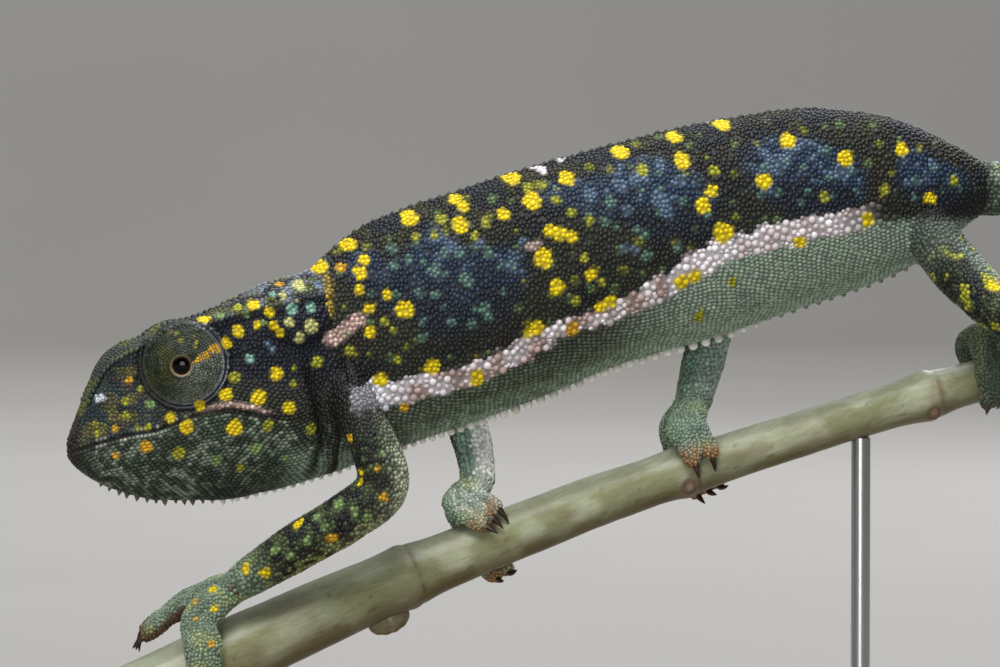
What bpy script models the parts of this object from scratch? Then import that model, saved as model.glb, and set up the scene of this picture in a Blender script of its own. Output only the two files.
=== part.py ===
"""A flap-necked chameleon walking down a twig, life size, on a plain display stand.

Lengths below are millimetres. +X runs from the head to the tail, +Y to the animal's right side and
+Z up from the underside of the stand's base. Lengthwise places are written in the animal's own
measure and shifted by BASE_MIDDLE_X when a mesh is made, so that the origin lies under the middle
of the base.
"""

import math

import bmesh
import bpy
import numpy as np
from mathutils import Matrix, Vector

MM = 0.001
GAP = 0.3  # between neighbouring pieces

# ---- stand
BASE_LENGTH, BASE_WIDTH, BASE_HEIGHT = 240.0, 110.0, 10.0
BASE_ROUNDING = 1.5
BASE_MIDDLE_X = 20.0
ROD_RADIUS = 1.6
ROD_FOOT_DEPTH = 0.3
ROD_PLACES = {"stand_rod_front": -73.0, "stand_rod_rear": 60.0}

# ---- perch: a twig that climbs towards the tail, thinner and flatter as it goes
PERCH_ENDS = (-91.0, 93.0)
PERCH_LINE = (
    (-91.0, 25.4), (-60.0, 38.9), (-42.0, 46.7), (-21.7, 55.3), (4.8, 65.5), (18.2, 70.3),
    (33.0, 74.9), (49.8, 79.9), (68.0, 85.1), (93.0, 91.8),
)  # fmt: skip
PERCH_THICKNESS = (
    (-91.0, 5.7), (-42.0, 5.6), (-30.0, 5.4), (-21.0, 5.0), (-8.0, 4.5), (4.8, 4.3), (18.0, 4.05),
    (33.0, 3.8), (93.0, 3.5),
)  # fmt: skip
PERCH_NODES = {-15.5: 0.4, 30.0: 0.4, 71.0: 0.45}  # where leaves grew, and how much it swells
PERCH_NODE_LENGTH = 3.0
PERCH_RINGS = 27
BUD_PLACE, BUD_TURN, BUD_RADIUS, BUD_STRETCH = -20.0, 172, 2.2, 1.6
BUD_LIFT = 0.5  # its middle over the twig's skin

# ---- head, neck and trunk: outlines as (place along the body, value)
SNOUT, NECK_START, TRUNK_START, RUMP_END = -69.7, -31.0, -24.0, 80.0
BACK_LINE = (
    (-69.7, 78.3), (-69.0, 81.6), (-68.1, 84.4), (-66.0, 90.0), (-64.0, 93.8), (-61.3, 95.8),
    (-57.6, 96.8), (-53.7, 98.9), (-48.6, 100.2), (-42.5, 103.0), (-37.4, 105.2), (-31.8, 106.6),
    (-28.1, 109.9), (-21.6, 114.5), (-8.6, 119.2), (11.1, 125.2), (35.9, 131.0), (51.0, 133.0),
    (63.0, 131.9), (73.2, 128.2), (80.0, 124.6),
)  # fmt: skip
BELLY_LINE = (
    (-69.7, 77.7), (-68.6, 76.3), (-65.9, 74.0), (-61.1, 71.9), (-54.6, 70.5), (-46.4, 70.4),
    (-37.3, 71.9), (-28.3, 74.2), (-16.6, 78.3), (6.2, 86.0), (19.9, 91.4), (36.0, 95.8),
    (51.2, 100.7), (62.0, 104.2), (70.3, 108.0), (76.0, 112.2), (80.0, 115.2),
)  # fmt: skip
FLANK_WIDTH = (
    (-31.0, 7.8), (-24.0, 7.7), (-14.0, 8.8), (5.0, 10.2), (30.0, 10.8), (48.0, 10.2),
    (62.0, 8.6), (72.0, 6.2), (80.0, 4.3),
)  # fmt: skip
JAW_LEVEL = (
    (-69.7, 78.0), (-66.0, 79.6), (-60.0, 81.3), (-52.7, 83.2), (-44.0, 84.8), (-30.0, 86.5),
)  # fmt: skip
JAW_WIDTH = (
    (-69.7, 0.5), (-69.0, 2.3), (-67.5, 3.6), (-64.0, 5.2), (-60.0, 6.6), (-50.0, 8.3),
    (-42.0, 9.2), (-36.0, 9.3), (-30.0, 8.5),
)  # fmt: skip
CHEEK_LEVEL = (
    (-69.7, 78.1), (-68.0, 81.2), (-66.0, 84.6), (-60.0, 89.2), (-52.0, 92.0), (-30.0, 96.5),
)  # fmt: skip
CHEEK_WIDTH = (
    (-69.7, 0.45), (-69.0, 2.1), (-67.5, 3.3), (-64.0, 4.6), (-60.0, 5.4), (-52.0, 6.5),
    (-46.0, 7.9), (-40.0, 8.8), (-30.0, 8.4),
)  # fmt: skip
CREST_LEVEL = (
    (-69.7, 78.2), (-69.0, 80.6), (-68.0, 83.0), (-66.0, 87.8), (-64.0, 91.6), (-60.0, 94.4),
    (-54.0, 97.0), (-48.0, 98.8), (-42.0, 100.6), (-30.0, 103.6),
)  # fmt: skip
CREST_WIDTH = (
    (-69.7, 0.4), (-69.0, 1.7), (-67.5, 2.8), (-64.0, 3.9), (-60.0, 4.7), (-55.0, 5.9),
    (-48.0, 6.9), (-41.0, 7.2), (-35.0, 6.5), (-30.0, 5.4),
)  # fmt: skip
NECK_BLEND = (-35.0, -24.0)  # the head's section turns into the trunk's between these
HALF_RING = 9  # faces from the belly keel to the back keel
HEAD_RINGS, NECK_RINGS, TRUNK_RINGS, GROWN_RINGS = 20, 5, 24, 36
HEAD_CROWD = 1.7  # over 1 crowds the head's rings towards the snout
MOUTH_LINE = (
    (-73.0, 77.4), (-70.2, 78.1), (-65.6, 79.9), (-60.4, 81.4), (-56.3, 82.1), (-52.7, 83.5),
    (-48.9, 84.9), (-45.1, 85.6), (-40.7, 84.8), (-37.3, 83.8),
)  # fmt: skip
JAW_ANGLE = (-33.0, 66.0)  # where the jaw's rear edge runs out under the throat
MOUTH_REACH = 15.0  # sideways, past both cheeks
MOUTH_SLOPE = 0.7  # the jaw's gap at its rear edge comes from a move back as well as down

# ---- eyes: turrets of fused lids with a small round opening
EYE_PLACE = (-51.5, 4.8, 92.6)  # centre of the turret's dome on the right side
EYE_AXES = {"left": (-0.25, -0.96, -0.05), "right": (-0.12, 0.98, -0.12)}
TURRET_RADIUS, TURRET_FLOOR = 6.65, -1.4
TURRET_TIP = 6.5
TURRET_HOLLOW = 0.5  # how far the lid's opening lies under the turret's tip
TURRET_DOME = (78, -12, 7)  # first and last angle of its dome, and the rows between
SOCKET_ROOM = 0.4  # round the turret
LID_OPENING, LID_DEPTH, LID_RIM = 1.7, 2.2, 0.45
EYE_SIDES = 18
EYEBALL_DROP = 0.45  # the eyeball's top under the lid's rim
EYEBALL_RISE = 0.7  # height of its domed part

# ---- flaps behind the casque
FLAP_MIDDLE, FLAP_REACH = (-34.0, 100.8), (5.4, 5.2)
FLAP_THICKNESS, FLAP_EDGE = 1.1, 0.5  # added at its middle, and at its rim
FLAP_LIFT = 0.4  # over the body's side
FLAP_SPOKES, FLAP_ROWS = 16, (1.0, 0.8, 0.45)

# ---- tail: its heading turns downwards, slowly and then into a coil
TAIL_START, TAIL_HEADING = (80.3, 119.8), -4.0
TAIL_LENGTH = 140.0
TAIL_DROOP, TAIL_DROOP_LENGTH = 26.0, 50.0
TAIL_COIL, TAIL_COIL_GROWTH = 560.0, 2.6
TAIL_ROOT_HEIGHT, TAIL_ROOT_WIDTH = 4.6, 4.1
TAIL_RADIUS, TAIL_TIP_RADIUS = 3.5, 0.6
TAIL_FLATNESS = 0.9  # its width as a share of its height
TAIL_ROOT_LENGTH = 0.09  # share of the length over which the root tapers
# where each piece starts and ends as a share of the length, its sides and its rings
TAIL_SPLITS = {
    "tail_base": (0.0, 0.30, 12, 12),
    "tail_middle": (0.30, 0.62, 10, 18),
    "tail_tip": (0.62, 1.0, 8, 26),
}

# ---- legs: (x, y, z) down the middle of each, and the radius there
LEGS = {
    "front_left": {
        "upper": (((-26.6, -3.0, 92.5), 3.2), ((-25.6, -8.0, 86.5), 3.7), ((-22.6, -12.4, 79.0), 4.0)),
        "joint": ((-21.6, -13.0, 73.0), 4.2),
        "lower": (((-27.2, -12.0, 68.3), 4.15), ((-35.0, -8.8, 63.3), 3.95), ((-42.6, -5.0, 58.0), 3.2)),
    },
    "front_right": {
        "upper": (((-25.5, 3.0, 92.0), 3.2), ((-19.5, 9.8, 95.0), 3.8), ((-12.6, 14.6, 95.8), 3.9)),
        "joint": ((-6.9, 16.2, 92.2), 4.0),
        "lower": (((-4.2, 13.4, 85.6), 3.8), ((-2.9, 7.6, 78.5), 3.3), ((-3.0, 2.4, 72.4), 3.0)),
    },
    "hind_left": {
        "upper": (((68.5, -2.0, 117.0), 3.6), ((71.6, -8.7, 109.0), 4.5), ((76.0, -16.6, 102.2), 4.2)),
        "joint": ((81.0, -23.4, 97.2), 3.9),
        "lower": (((83.4, -18.8, 91.2), 3.7), ((83.2, -10.8, 93.0), 3.3), ((82.0, -4.6, 96.8), 2.9)),
    },
    "hind_right": {
        "upper": (((69.0, 2.0, 117.0), 3.6), ((60.0, 10.5, 114.5), 4.4), ((49.5, 15.5, 110.6), 4.1)),
        "joint": ((42.6, 17.2, 105.6), 4.0),
        "lower": (((38.6, 13.0, 98.5), 3.9), ((35.3, 7.4, 91.0), 3.6), ((32.6, 2.6, 85.4), 3.2)),
    },
}  # fmt: skip
LEG_SIDES, LEG_RINGS, LEG_SAMPLES = 10, 7, 161
JOINT_ROOM = 12  # samples on each side of a bend that hold no ring, so that rings don't cross

# ---- feet: toes bound in two bundles that oppose each other. A gripping bundle says where it
# meets the perch, through which angles it goes round (0 is the top, the animal's right is plus)
# and how far it drifts along the perch on its way; a lifted bundle gives its own line.
FEET = {
    "foot_front_left_outer": {
        "leg": "front_left", "toes": 2, "spread": 2.7, "at": -46.3, "turn": (-34, -136), "drift": -5.2,
    },
    "foot_front_left_inner": {
        "leg": "front_left", "toes": 3, "spread": 2.2,
        "line": ((-46.6, -1.6, 56.4), (-50.8, 1.6, 54.0), (-54.6, 3.2, 51.1), (-57.4, 3.8, 48.6)),
    },
    "foot_front_right_outer": {
        "leg": "front_right", "toes": 2, "spread": 2.6, "at": -3.0, "turn": (34, 166), "drift": 2.0,
    },
    "foot_front_right_inner": {
        "leg": "front_right", "toes": 3, "spread": 2.0, "at": -3.4, "turn": (-8, -50), "drift": 3.0,
    },
    "foot_hind_left_outer": {
        "leg": "hind_left", "toes": 3, "spread": 2.2, "at": 81.8, "turn": (-32, -142), "drift": -0.6,
    },
    "foot_hind_left_inner": {
        "leg": "hind_left", "toes": 2, "spread": 2.6, "at": 81.8, "turn": (32, 140), "drift": 1.0,
    },
    "foot_hind_right_outer": {
        "leg": "hind_right", "toes": 3, "spread": 2.2, "at": 32.6, "turn": (34, 148), "drift": 1.5,
    },
    "foot_hind_right_inner": {
        "leg": "hind_right", "toes": 2, "spread": 3.4, "at": 32.2, "turn": (-22, -80), "drift": 0.4,
    },
}  # fmt: skip
TOE_ROOT_RADIUS, TOE_TIP_RADIUS = 2.35, 1.5
BUNDLE_SIDES, BUNDLE_RINGS, TOE_SAMPLES = 14, 8, 60
TOE_END_SHARE = 0.7  # how wide the last ring is, as a share of the toe
TOE_CLEARANCE = 0.35
PALM_LIFT = 1.4
WEB_SHARE = 0.85  # thickness of the skin between two toes, as a share of a toe's
CLAW_LENGTH, CLAW_RADIUS, CLAW_SIDES, CLAW_RINGS = 2.3, 0.5, 6, 4
CLAW_BEND, CLAW_TAPER = 0.45, 0.85
CLAW_CLEARANCE, CLAW_RISE, CLAW_SPREAD = 0.25, 0.2, 0.9
CUTTER_SIZE = 60.0

COLOURS = {
    "skin": (0.075, 0.105, 0.085),
    "turret": (0.10, 0.14, 0.07),
    "eyeball": (0.01, 0.008, 0.006),
    "claw": (0.03, 0.022, 0.016),
    "bark": (0.24, 0.27, 0.15),
    "walnut": (0.10, 0.05, 0.028),
    "steel": (0.55, 0.55, 0.56),
}
ROUGHNESS = {
    "skin": 0.6,
    "turret": 0.6,
    "eyeball": 0.08,
    "claw": 0.35,
    "bark": 0.8,
    "walnut": 0.45,
    "steel": 0.3,
}
SHARP_ANGLE = 50  # degrees, the least bend that is drawn as an edge


# ---- helpers: curves


def smooth(points):
    """A smooth function through (place, value) points that doesn't overshoot them."""
    xs, ys = np.array(points, float).T
    step = np.diff(xs)
    slope = np.diff(ys) / step
    bend = np.concatenate([[slope[0]], np.zeros(len(xs) - 2), [slope[-1]]])
    for i in range(1, len(xs) - 1):
        if slope[i - 1] * slope[i] > 0:
            before, after = 2 * step[i] + step[i - 1], step[i] + 2 * step[i - 1]
            bend[i] = (before + after) / (before / slope[i - 1] + after / slope[i])

    def value(x):
        x = np.clip(x, xs[0], xs[-1])
        i = np.clip(np.searchsorted(xs, x) - 1, 0, len(step) - 1)
        t = (x - xs[i]) / step[i]
        rise = t * t * (3 - 2 * t)
        lean = step[i] * (bend[i] * t * (1 - t) ** 2 - bend[i + 1] * t * t * (1 - t))
        return ys[i] + (ys[i + 1] - ys[i]) * rise + lean

    return value


def ease(t):
    t = np.clip(t, 0.0, 1.0)
    return t * t * (3 - 2 * t)


def through(points, count):
    """Points evenly along a smooth line through a few rows of numbers."""
    rows = np.array(points, float)
    padded = np.vstack([2 * rows[0] - rows[1], rows, 2 * rows[-1] - rows[-2]])
    t = np.linspace(0, 1, 16, endpoint=False)[:, None]
    pieces = []
    for a, b, c, d in zip(padded, padded[1:], padded[2:], padded[3:]):
        bend, twist = 2 * a - 5 * b + 4 * c - d, 3 * b - a - 3 * c + d
        pieces.append(b + 0.5 * ((c - a) * t + bend * t**2 + twist * t**3))
    fine = np.vstack(pieces + [rows[-1:]])
    length = np.concatenate([[0], np.cumsum(np.linalg.norm(np.diff(fine, axis=0), axis=1))])
    even = np.linspace(0, length[-1], count)
    return np.stack([np.interp(even, length, column) for column in fine.T], axis=1)


# ---- helpers: objects


def collection(name):
    made = bpy.data.collections.new(name)
    bpy.context.scene.collection.children.link(made)
    return made


def finish(name):
    material = bpy.data.materials.new(name)
    material.use_nodes = True
    shader = material.node_tree.nodes["Principled BSDF"]
    shader.inputs["Base Color"].default_value = (*COLOURS[name], 1)
    shader.inputs["Roughness"].default_value = ROUGHNESS[name]
    shader.inputs["Metallic"].default_value = 1.0 if name == "steel" else 0.0
    return material


for old in list(bpy.data.objects):
    bpy.data.objects.remove(old, do_unlink=True)
PARTS = collection("chameleon")
CUTTERS = collection("chameleon_cutters")
FINISHES = {name: finish(name) for name in COLOURS}


def place(points):
    """The animal's millimetres as the scene's metres."""
    return (np.asarray(points, float) - (BASE_MIDDLE_X, 0, 0)) * MM


def add(name, mesh, material):
    """A piece of the model when it has a material, and a hidden helper when it has none."""
    piece = bpy.data.objects.new(name, mesh)
    if material is None:
        CUTTERS.objects.link(piece)
        piece.hide_render = True
        piece.display_type = "WIRE"
    else:
        PARTS.objects.link(piece)
        mesh.materials.append(FINISHES[material])
    mesh.shade_smooth()
    mesh.set_sharp_from_angle(angle=math.radians(SHARP_ANGLE))
    return piece


def mesh_from(name, bm, face_out=False):
    if face_out:
        bmesh.ops.recalc_face_normals(bm, faces=bm.faces)
    mesh = bpy.data.meshes.new(name)
    bm.to_mesh(mesh)
    bm.free()
    return mesh


def loft(name, rings, material=None, tip=None):
    """A closed skin over rings of equally many points, with flat ends or a point at the tip."""
    bm = bmesh.new()
    rows = [[bm.verts.new(point) for point in place(ring)] for ring in rings]
    for here, beyond in zip(rows, rows[1:]):
        for i in range(len(here)):
            j = (i + 1) % len(here)
            bm.faces.new((here[i], here[j], beyond[j], beyond[i]))
    bm.faces.new(rows[0])
    if tip is None:
        bm.faces.new(rows[-1])
    else:
        pole = bm.verts.new(place(tip))
        for i in range(len(rows[-1])):
            bm.faces.new((rows[-1][i], rows[-1][(i + 1) % len(rows[-1])], pole))
    return add(name, mesh_from(name, bm, face_out=True), material)


def combine(piece, other, operation, solver="EXACT"):
    modifier = piece.modifiers.new(f"{operation.lower()}_{other.name}"[:60], "BOOLEAN")
    modifier.object = other
    modifier.operation = operation
    modifier.solver = solver


def square_to(direction, tangent):
    """The unit direction nearest to this one that is square to a tangent."""
    direction = direction - tangent * np.dot(direction, tangent)
    return direction / np.linalg.norm(direction)


def frames(line):
    """Unit tangents and two unit cross directions along a line, without twist."""
    along = np.gradient(line, axis=0)
    along /= np.linalg.norm(along, axis=1)[:, None]
    side = np.cross(along[0], (0, 0, 1.0))
    if np.linalg.norm(side) < 0.2:
        side = np.cross(along[0], (0, 1.0, 0))
    sides = []
    for tangent in along:
        side = square_to(side, tangent)
        sides.append(side)
    sides = np.array(sides)
    return along, sides, np.cross(sides, along)


def tube_rings(line, radii, sides):
    _, across, upward = frames(line)
    angles = np.linspace(0, 2 * math.pi, sides, endpoint=False)
    rings = []
    for middle, radius, a, b in zip(line, radii, across, upward):
        rings.append([middle + radius * (math.cos(t) * a + math.sin(t) * b) for t in angles])
    return rings


# ---- head, neck and trunk

back, belly, flank = smooth(BACK_LINE), smooth(BELLY_LINE), smooth(FLANK_WIDTH)
jaw_level, jaw_width = smooth(JAW_LEVEL), smooth(JAW_WIDTH)
cheek_level, cheek_width = smooth(CHEEK_LEVEL), smooth(CHEEK_WIDTH)
crest_level, crest_width = smooth(CREST_LEVEL), smooth(CREST_WIDTH)
# The trunk's half section, as shares of its width and height from the belly keel to the back keel.
TRUNK_SHAPE = np.array((
    (0, 0), (0.30, 0.02), (0.74, 0.14), (0.98, 0.36), (1.0, 0.56), (0.80, 0.80), (0.42, 0.945),
    (0.13, 0.985), (0, 1.0),
))  # fmt: skip


def half_section(x, count, grow=0.0):
    """(half-width, height) pairs from the belly keel to the back keel at a place along the body."""
    low, high = belly(x), back(x)
    trunk = np.stack([TRUNK_SHAPE[:, 0] * flank(x), low + TRUNK_SHAPE[:, 1] * (high - low)], axis=1)
    jaw, cheek, crest = jaw_width(x), cheek_width(x), crest_width(x)
    jaw_at, cheek_at, crest_at = jaw_level(x), cheek_level(x), crest_level(x)
    chin, roof = jaw_at - low, high - crest_at
    head = np.array(
        (
            (0, low),
            (0.38 * jaw, low + 0.05 * chin),
            (0.80 * jaw, low + 0.42 * chin),
            (jaw, jaw_at),
            (cheek, cheek_at),
            (crest, crest_at),
            (0.62 * crest, crest_at + 0.62 * roof),
            (0.16 * crest, crest_at + 0.93 * roof),
            (0, high),
        )
    )
    share = ease((x - NECK_BLEND[0]) / (NECK_BLEND[1] - NECK_BLEND[0]))
    rows = (1 - share) * head + share * trunk
    half = through(rows, count + 1)
    half[0, 0] = half[-1, 0] = 0.0
    middle = np.array((0.0, (low + high) / 2))
    if grow:
        out = half - middle
        half = middle + out * (1 + grow / np.linalg.norm(out, axis=1)[:, None])
        half[0, 0] = half[-1, 0] = 0.0
    return half


def body_ring(x, grow=0.0):
    half = half_section(x, HALF_RING, grow)
    right = [(x, y, z) for y, z in half]
    left = [(x, -y, z) for y, z in half[-2:0:-1]]
    return right + left


def body_side(x, z):
    """The body's half-width at a place and height."""
    half = half_section(x, 40)
    return float(np.interp(z, half[:, 1], half[:, 0]))


def stations(start, end, count, crowd=1.0):
    return start + (end - start) * np.linspace(0, 1, count) ** crowd


def mouth_prism(name, shift):
    """Everything under the mouth line and before the jaw's angle, moved up and back by a shift."""
    outline = [*MOUTH_LINE, JAW_ANGLE, (MOUTH_LINE[0][0], JAW_ANGLE[1])]
    bm = bmesh.new()
    rows = []
    for y in (-MOUTH_REACH, MOUTH_REACH):
        corners = [(x + shift * MOUTH_SLOPE, y, z + shift) for x, z in outline]
        rows.append([bm.verts.new(point) for point in place(corners)])
    for i in range(len(outline)):
        j = (i + 1) % len(outline)
        bm.faces.new((rows[0][i], rows[0][j], rows[1][j], rows[1][i]))
    bm.faces.new(rows[0])
    bm.faces.new(rows[1])
    return add(name, mesh_from(name, bm, face_out=True), None)


def socket(side):
    """The hollow that holds an eye turret."""
    centre, axis = eye_frame(side)
    bm = bmesh.new()
    depth = 2 * TURRET_TIP - TURRET_FLOOR
    bmesh.ops.create_cone(
        bm,
        cap_ends=True,
        segments=24,
        radius1=(TURRET_RADIUS + SOCKET_ROOM) * MM,
        radius2=(TURRET_RADIUS + SOCKET_ROOM) * MM,
        depth=depth * MM,
    )
    middle = centre + axis * (TURRET_FLOOR - GAP + depth / 2)
    turn = Vector((0, 0, 1)).rotation_difference(Vector(axis)).to_matrix().to_4x4()
    bm.transform(Matrix.Translation(Vector(place(middle))) @ turn)
    return add(f"socket_{side}", mesh_from(f"socket_{side}", bm), None)


def eye_frame(side):
    sign = -1.0 if side == "left" else 1.0
    axis = np.array(EYE_AXES[side])
    return np.array((EYE_PLACE[0], sign * EYE_PLACE[1], EYE_PLACE[2])), axis / np.linalg.norm(axis)


def head():
    rings = [body_ring(x) for x in stations(SNOUT, NECK_START, HEAD_RINGS, HEAD_CROWD)]
    upper = loft("head_upper", rings, "skin")
    lower = loft("lower_jaw", rings, "skin")
    combine(upper, mouth_prism("mouth_above", GAP / 2), "DIFFERENCE")
    combine(lower, mouth_prism("mouth_below", -GAP / 2), "INTERSECT")
    for side in EYE_AXES:
        combine(upper, socket(side), "DIFFERENCE")


def neck_and_trunk():
    neck = stations(NECK_START + GAP, TRUNK_START - GAP / 2, NECK_RINGS)
    trunk = stations(TRUNK_START + GAP / 2, RUMP_END, TRUNK_RINGS)
    loft("neck", [body_ring(x) for x in neck], "skin")
    loft("trunk", [body_ring(x) for x in trunk], "skin")


def grown_body():
    """The body swollen by the gap, which trims the roots of the legs."""
    places = stations(NECK_START, RUMP_END + GAP, GROWN_RINGS)
    return loft("grown_body", [body_ring(x, GAP) for x in places])


# ---- eyes


def turned(name, profile, side, material):
    """A profile of (radius, height) rows turned round an eye's axis."""
    centre, axis = eye_frame(side)
    mesh = bpy.data.meshes.new(name)
    edges = [(i, i + 1) for i in range(len(profile) - 1)]
    mesh.from_pydata([(r * MM, 0, h * MM) for r, h in profile], edges, [])
    piece = add(name, mesh, material)
    spin = piece.modifiers.new("turn", "SCREW")
    spin.axis = "Z"
    spin.steps = spin.render_steps = EYE_SIDES
    spin.use_merge_vertices = True
    spin.merge_threshold = 0.00001
    spin.use_smooth_shade = True
    piece.rotation_mode = "QUATERNION"
    piece.rotation_quaternion = Vector((0, 0, 1)).rotation_difference(Vector(axis))
    piece.location = place(centre)
    return piece


def eye(side):
    lid_top = TURRET_TIP - TURRET_HOLLOW
    lid_floor = lid_top - LID_DEPTH
    dome = []
    for degrees in np.linspace(*TURRET_DOME):
        angle = math.radians(degrees)
        dome.append((TURRET_RADIUS * math.cos(angle), TURRET_TIP * math.sin(angle)))
    dome[0] = (LID_OPENING + LID_RIM, lid_top + LID_RIM)
    turret = [(0, lid_floor), (LID_OPENING, lid_floor), (LID_OPENING, lid_top + LID_RIM / 2)]
    turret += dome + [(TURRET_RADIUS * 0.95, TURRET_FLOOR), (0, TURRET_FLOOR)]
    turned(f"eye_{side}", turret, side, "turret")
    ball_radius = LID_OPENING - GAP
    ball_top = lid_top - EYEBALL_DROP
    ball = [(0, ball_top)]
    for degrees in (60, 30, 0):
        angle = math.radians(degrees)
        drop = EYEBALL_RISE * (1 - math.sin(angle))
        ball.append((ball_radius * math.cos(angle), ball_top - drop))
    ball += [(ball_radius, lid_floor + GAP), (0, lid_floor + GAP)]
    turned(f"eyeball_{side}", ball, side, "eyeball")


# ---- flaps


def flap(side):
    """A thin lobe that lies over the side of the casque and the neck."""
    sign = -1.0 if side == "left" else 1.0
    bm = bmesh.new()

    def row(share, thickness):
        verts = []
        for angle in np.linspace(0, 2 * math.pi, FLAP_SPOKES, endpoint=False):
            x = FLAP_MIDDLE[0] + share * FLAP_REACH[0] * math.cos(angle)
            z = FLAP_MIDDLE[1] + share * FLAP_REACH[1] * math.sin(angle)
            verts.append((x, sign * (body_side(x, z) + FLAP_LIFT + thickness), z))
        return [bm.verts.new(point) for point in place(verts)]

    outer = [row(share, FLAP_EDGE + FLAP_THICKNESS * math.sqrt(1 - share**2)) for share in FLAP_ROWS]
    rows = [*outer[::-1], *[row(share, 0.0) for share in FLAP_ROWS]]
    for here, beyond in zip(rows, rows[1:]):
        for i in range(FLAP_SPOKES):
            j = (i + 1) % FLAP_SPOKES
            bm.faces.new((here[i], here[j], beyond[j], beyond[i]))
    for ring, thickness in ((rows[0], FLAP_EDGE + FLAP_THICKNESS), (rows[-1], 0.0)):
        x, z = FLAP_MIDDLE
        pole = bm.verts.new(place((x, sign * (body_side(x, z) + FLAP_LIFT + thickness), z)))
        for i in range(FLAP_SPOKES):
            bm.faces.new((ring[i], ring[(i + 1) % FLAP_SPOKES], pole))
    add(f"flap_{side}", mesh_from(f"flap_{side}", bm, face_out=True), "skin")


# ---- tail


def tail_line(count=600):
    share = np.linspace(0, 1, count)
    droop = TAIL_DROOP * ease(share * TAIL_LENGTH / TAIL_DROOP_LENGTH)
    heading = np.radians(TAIL_HEADING - droop - TAIL_COIL * share**TAIL_COIL_GROWTH)
    step = TAIL_LENGTH / (count - 1)
    x = TAIL_START[0] + np.concatenate([[0], np.cumsum(np.cos(heading[:-1]))]) * step
    z = TAIL_START[1] + np.concatenate([[0], np.cumsum(np.sin(heading[:-1]))]) * step
    return share, np.stack([x, np.zeros(count), z], axis=1), heading


def tail_size(share):
    """(half-height, half-width) of the tail at a share of its length."""
    plain = TAIL_TIP_RADIUS + (TAIL_RADIUS - TAIL_TIP_RADIUS) * (1 - share) ** 0.9
    root = 1 - ease(share / TAIL_ROOT_LENGTH)
    return (
        plain + (TAIL_ROOT_HEIGHT - TAIL_RADIUS) * root,
        TAIL_FLATNESS * plain + (TAIL_ROOT_WIDTH - TAIL_FLATNESS * TAIL_RADIUS) * root,
    )


def tail():
    shares, line, headings = tail_line()
    for name, (start, end, sides, rings) in TAIL_SPLITS.items():
        first = start + (GAP / TAIL_LENGTH if start else 0.0)
        made = []
        for share in np.linspace(first, end, rings):
            middle = [np.interp(share, shares, column) for column in line.T]
            heading = np.interp(share, shares, headings)
            height, width = tail_size(share)
            ring = []
            for angle in np.linspace(0, 2 * math.pi, sides, endpoint=False):
                up, out = height * math.cos(angle), width * math.sin(angle)
                ring.append((middle[0] - up * math.sin(heading), out, middle[2] + up * math.cos(heading)))
            made.append(ring)
        tip = None
        if end == 1.0:
            tip = line[-1] + TAIL_TIP_RADIUS * np.array((math.cos(headings[-1]), 0, math.sin(headings[-1])))
        loft(name, made, "skin", tip)


# ---- perch


perch_height, perch_thickness = smooth(PERCH_LINE), smooth(PERCH_THICKNESS)


def perch_middle(x):
    return np.array((x, 0.0, float(perch_height(x))))


def perch_radius(x):
    swell = sum(h * math.exp(-(((x - at) / PERCH_NODE_LENGTH) ** 2)) for at, h in PERCH_NODES.items())
    return float(perch_thickness(x)) + swell


def perch_directions(x):
    along = perch_middle(x + 1.0) - perch_middle(x - 1.0)
    along /= np.linalg.norm(along)
    return along, np.array((-along[2], 0, along[0]))


def round_perch(x, degrees, distance):
    """A point beside the perch: 0 degrees is on top and 90 on the animal's right."""
    _, upward = perch_directions(x)
    angle = math.radians(degrees)
    return perch_middle(x) + distance * (math.cos(angle) * upward + math.sin(angle) * np.array((0, 1.0, 0)))


def perch_tube(name, grow, places, material):
    """The twig as a bevelled curve, made a mesh so that it can be joined and can cut."""
    curve = bpy.data.curves.new(name, "CURVE")
    curve.dimensions = "3D"
    curve.bevel_depth = MM
    curve.bevel_resolution = 4
    curve.use_fill_caps = True
    spline = curve.splines.new("POLY")
    spline.points.add(len(places) - 1)
    for point, x in zip(spline.points, places):
        point.co = (*place(perch_middle(x)), 1)
        point.radius = perch_radius(x) + grow
    guide = bpy.data.objects.new(name, curve)
    PARTS.objects.link(guide)
    bpy.context.view_layer.update()
    mesh = bpy.data.meshes.new_from_object(guide.evaluated_get(bpy.context.evaluated_depsgraph_get()))
    matrix = guide.matrix_world.copy()
    bpy.data.objects.remove(guide)
    bm = bmesh.new()
    bm.from_mesh(mesh)
    bmesh.ops.remove_doubles(bm, verts=bm.verts, dist=1e-6)
    tube = add(name, mesh_from(name, bm, face_out=True), material)
    tube.matrix_world = matrix
    return tube


def perch():
    twig = perch_tube("perch", 0.0, np.linspace(*PERCH_ENDS, PERCH_RINGS), "bark")
    bm = bmesh.new()
    bmesh.ops.create_uvsphere(bm, u_segments=10, v_segments=6, radius=BUD_RADIUS * MM)
    bmesh.ops.scale(bm, vec=(BUD_STRETCH, 1, 1), verts=bm.verts)
    middle = round_perch(BUD_PLACE, BUD_TURN, perch_radius(BUD_PLACE) + BUD_LIFT)
    bm.transform(Matrix.Translation(Vector(place(middle))))
    combine(twig, add("bud", mesh_from("bud", bm), None), "UNION")


# ---- legs


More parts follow.
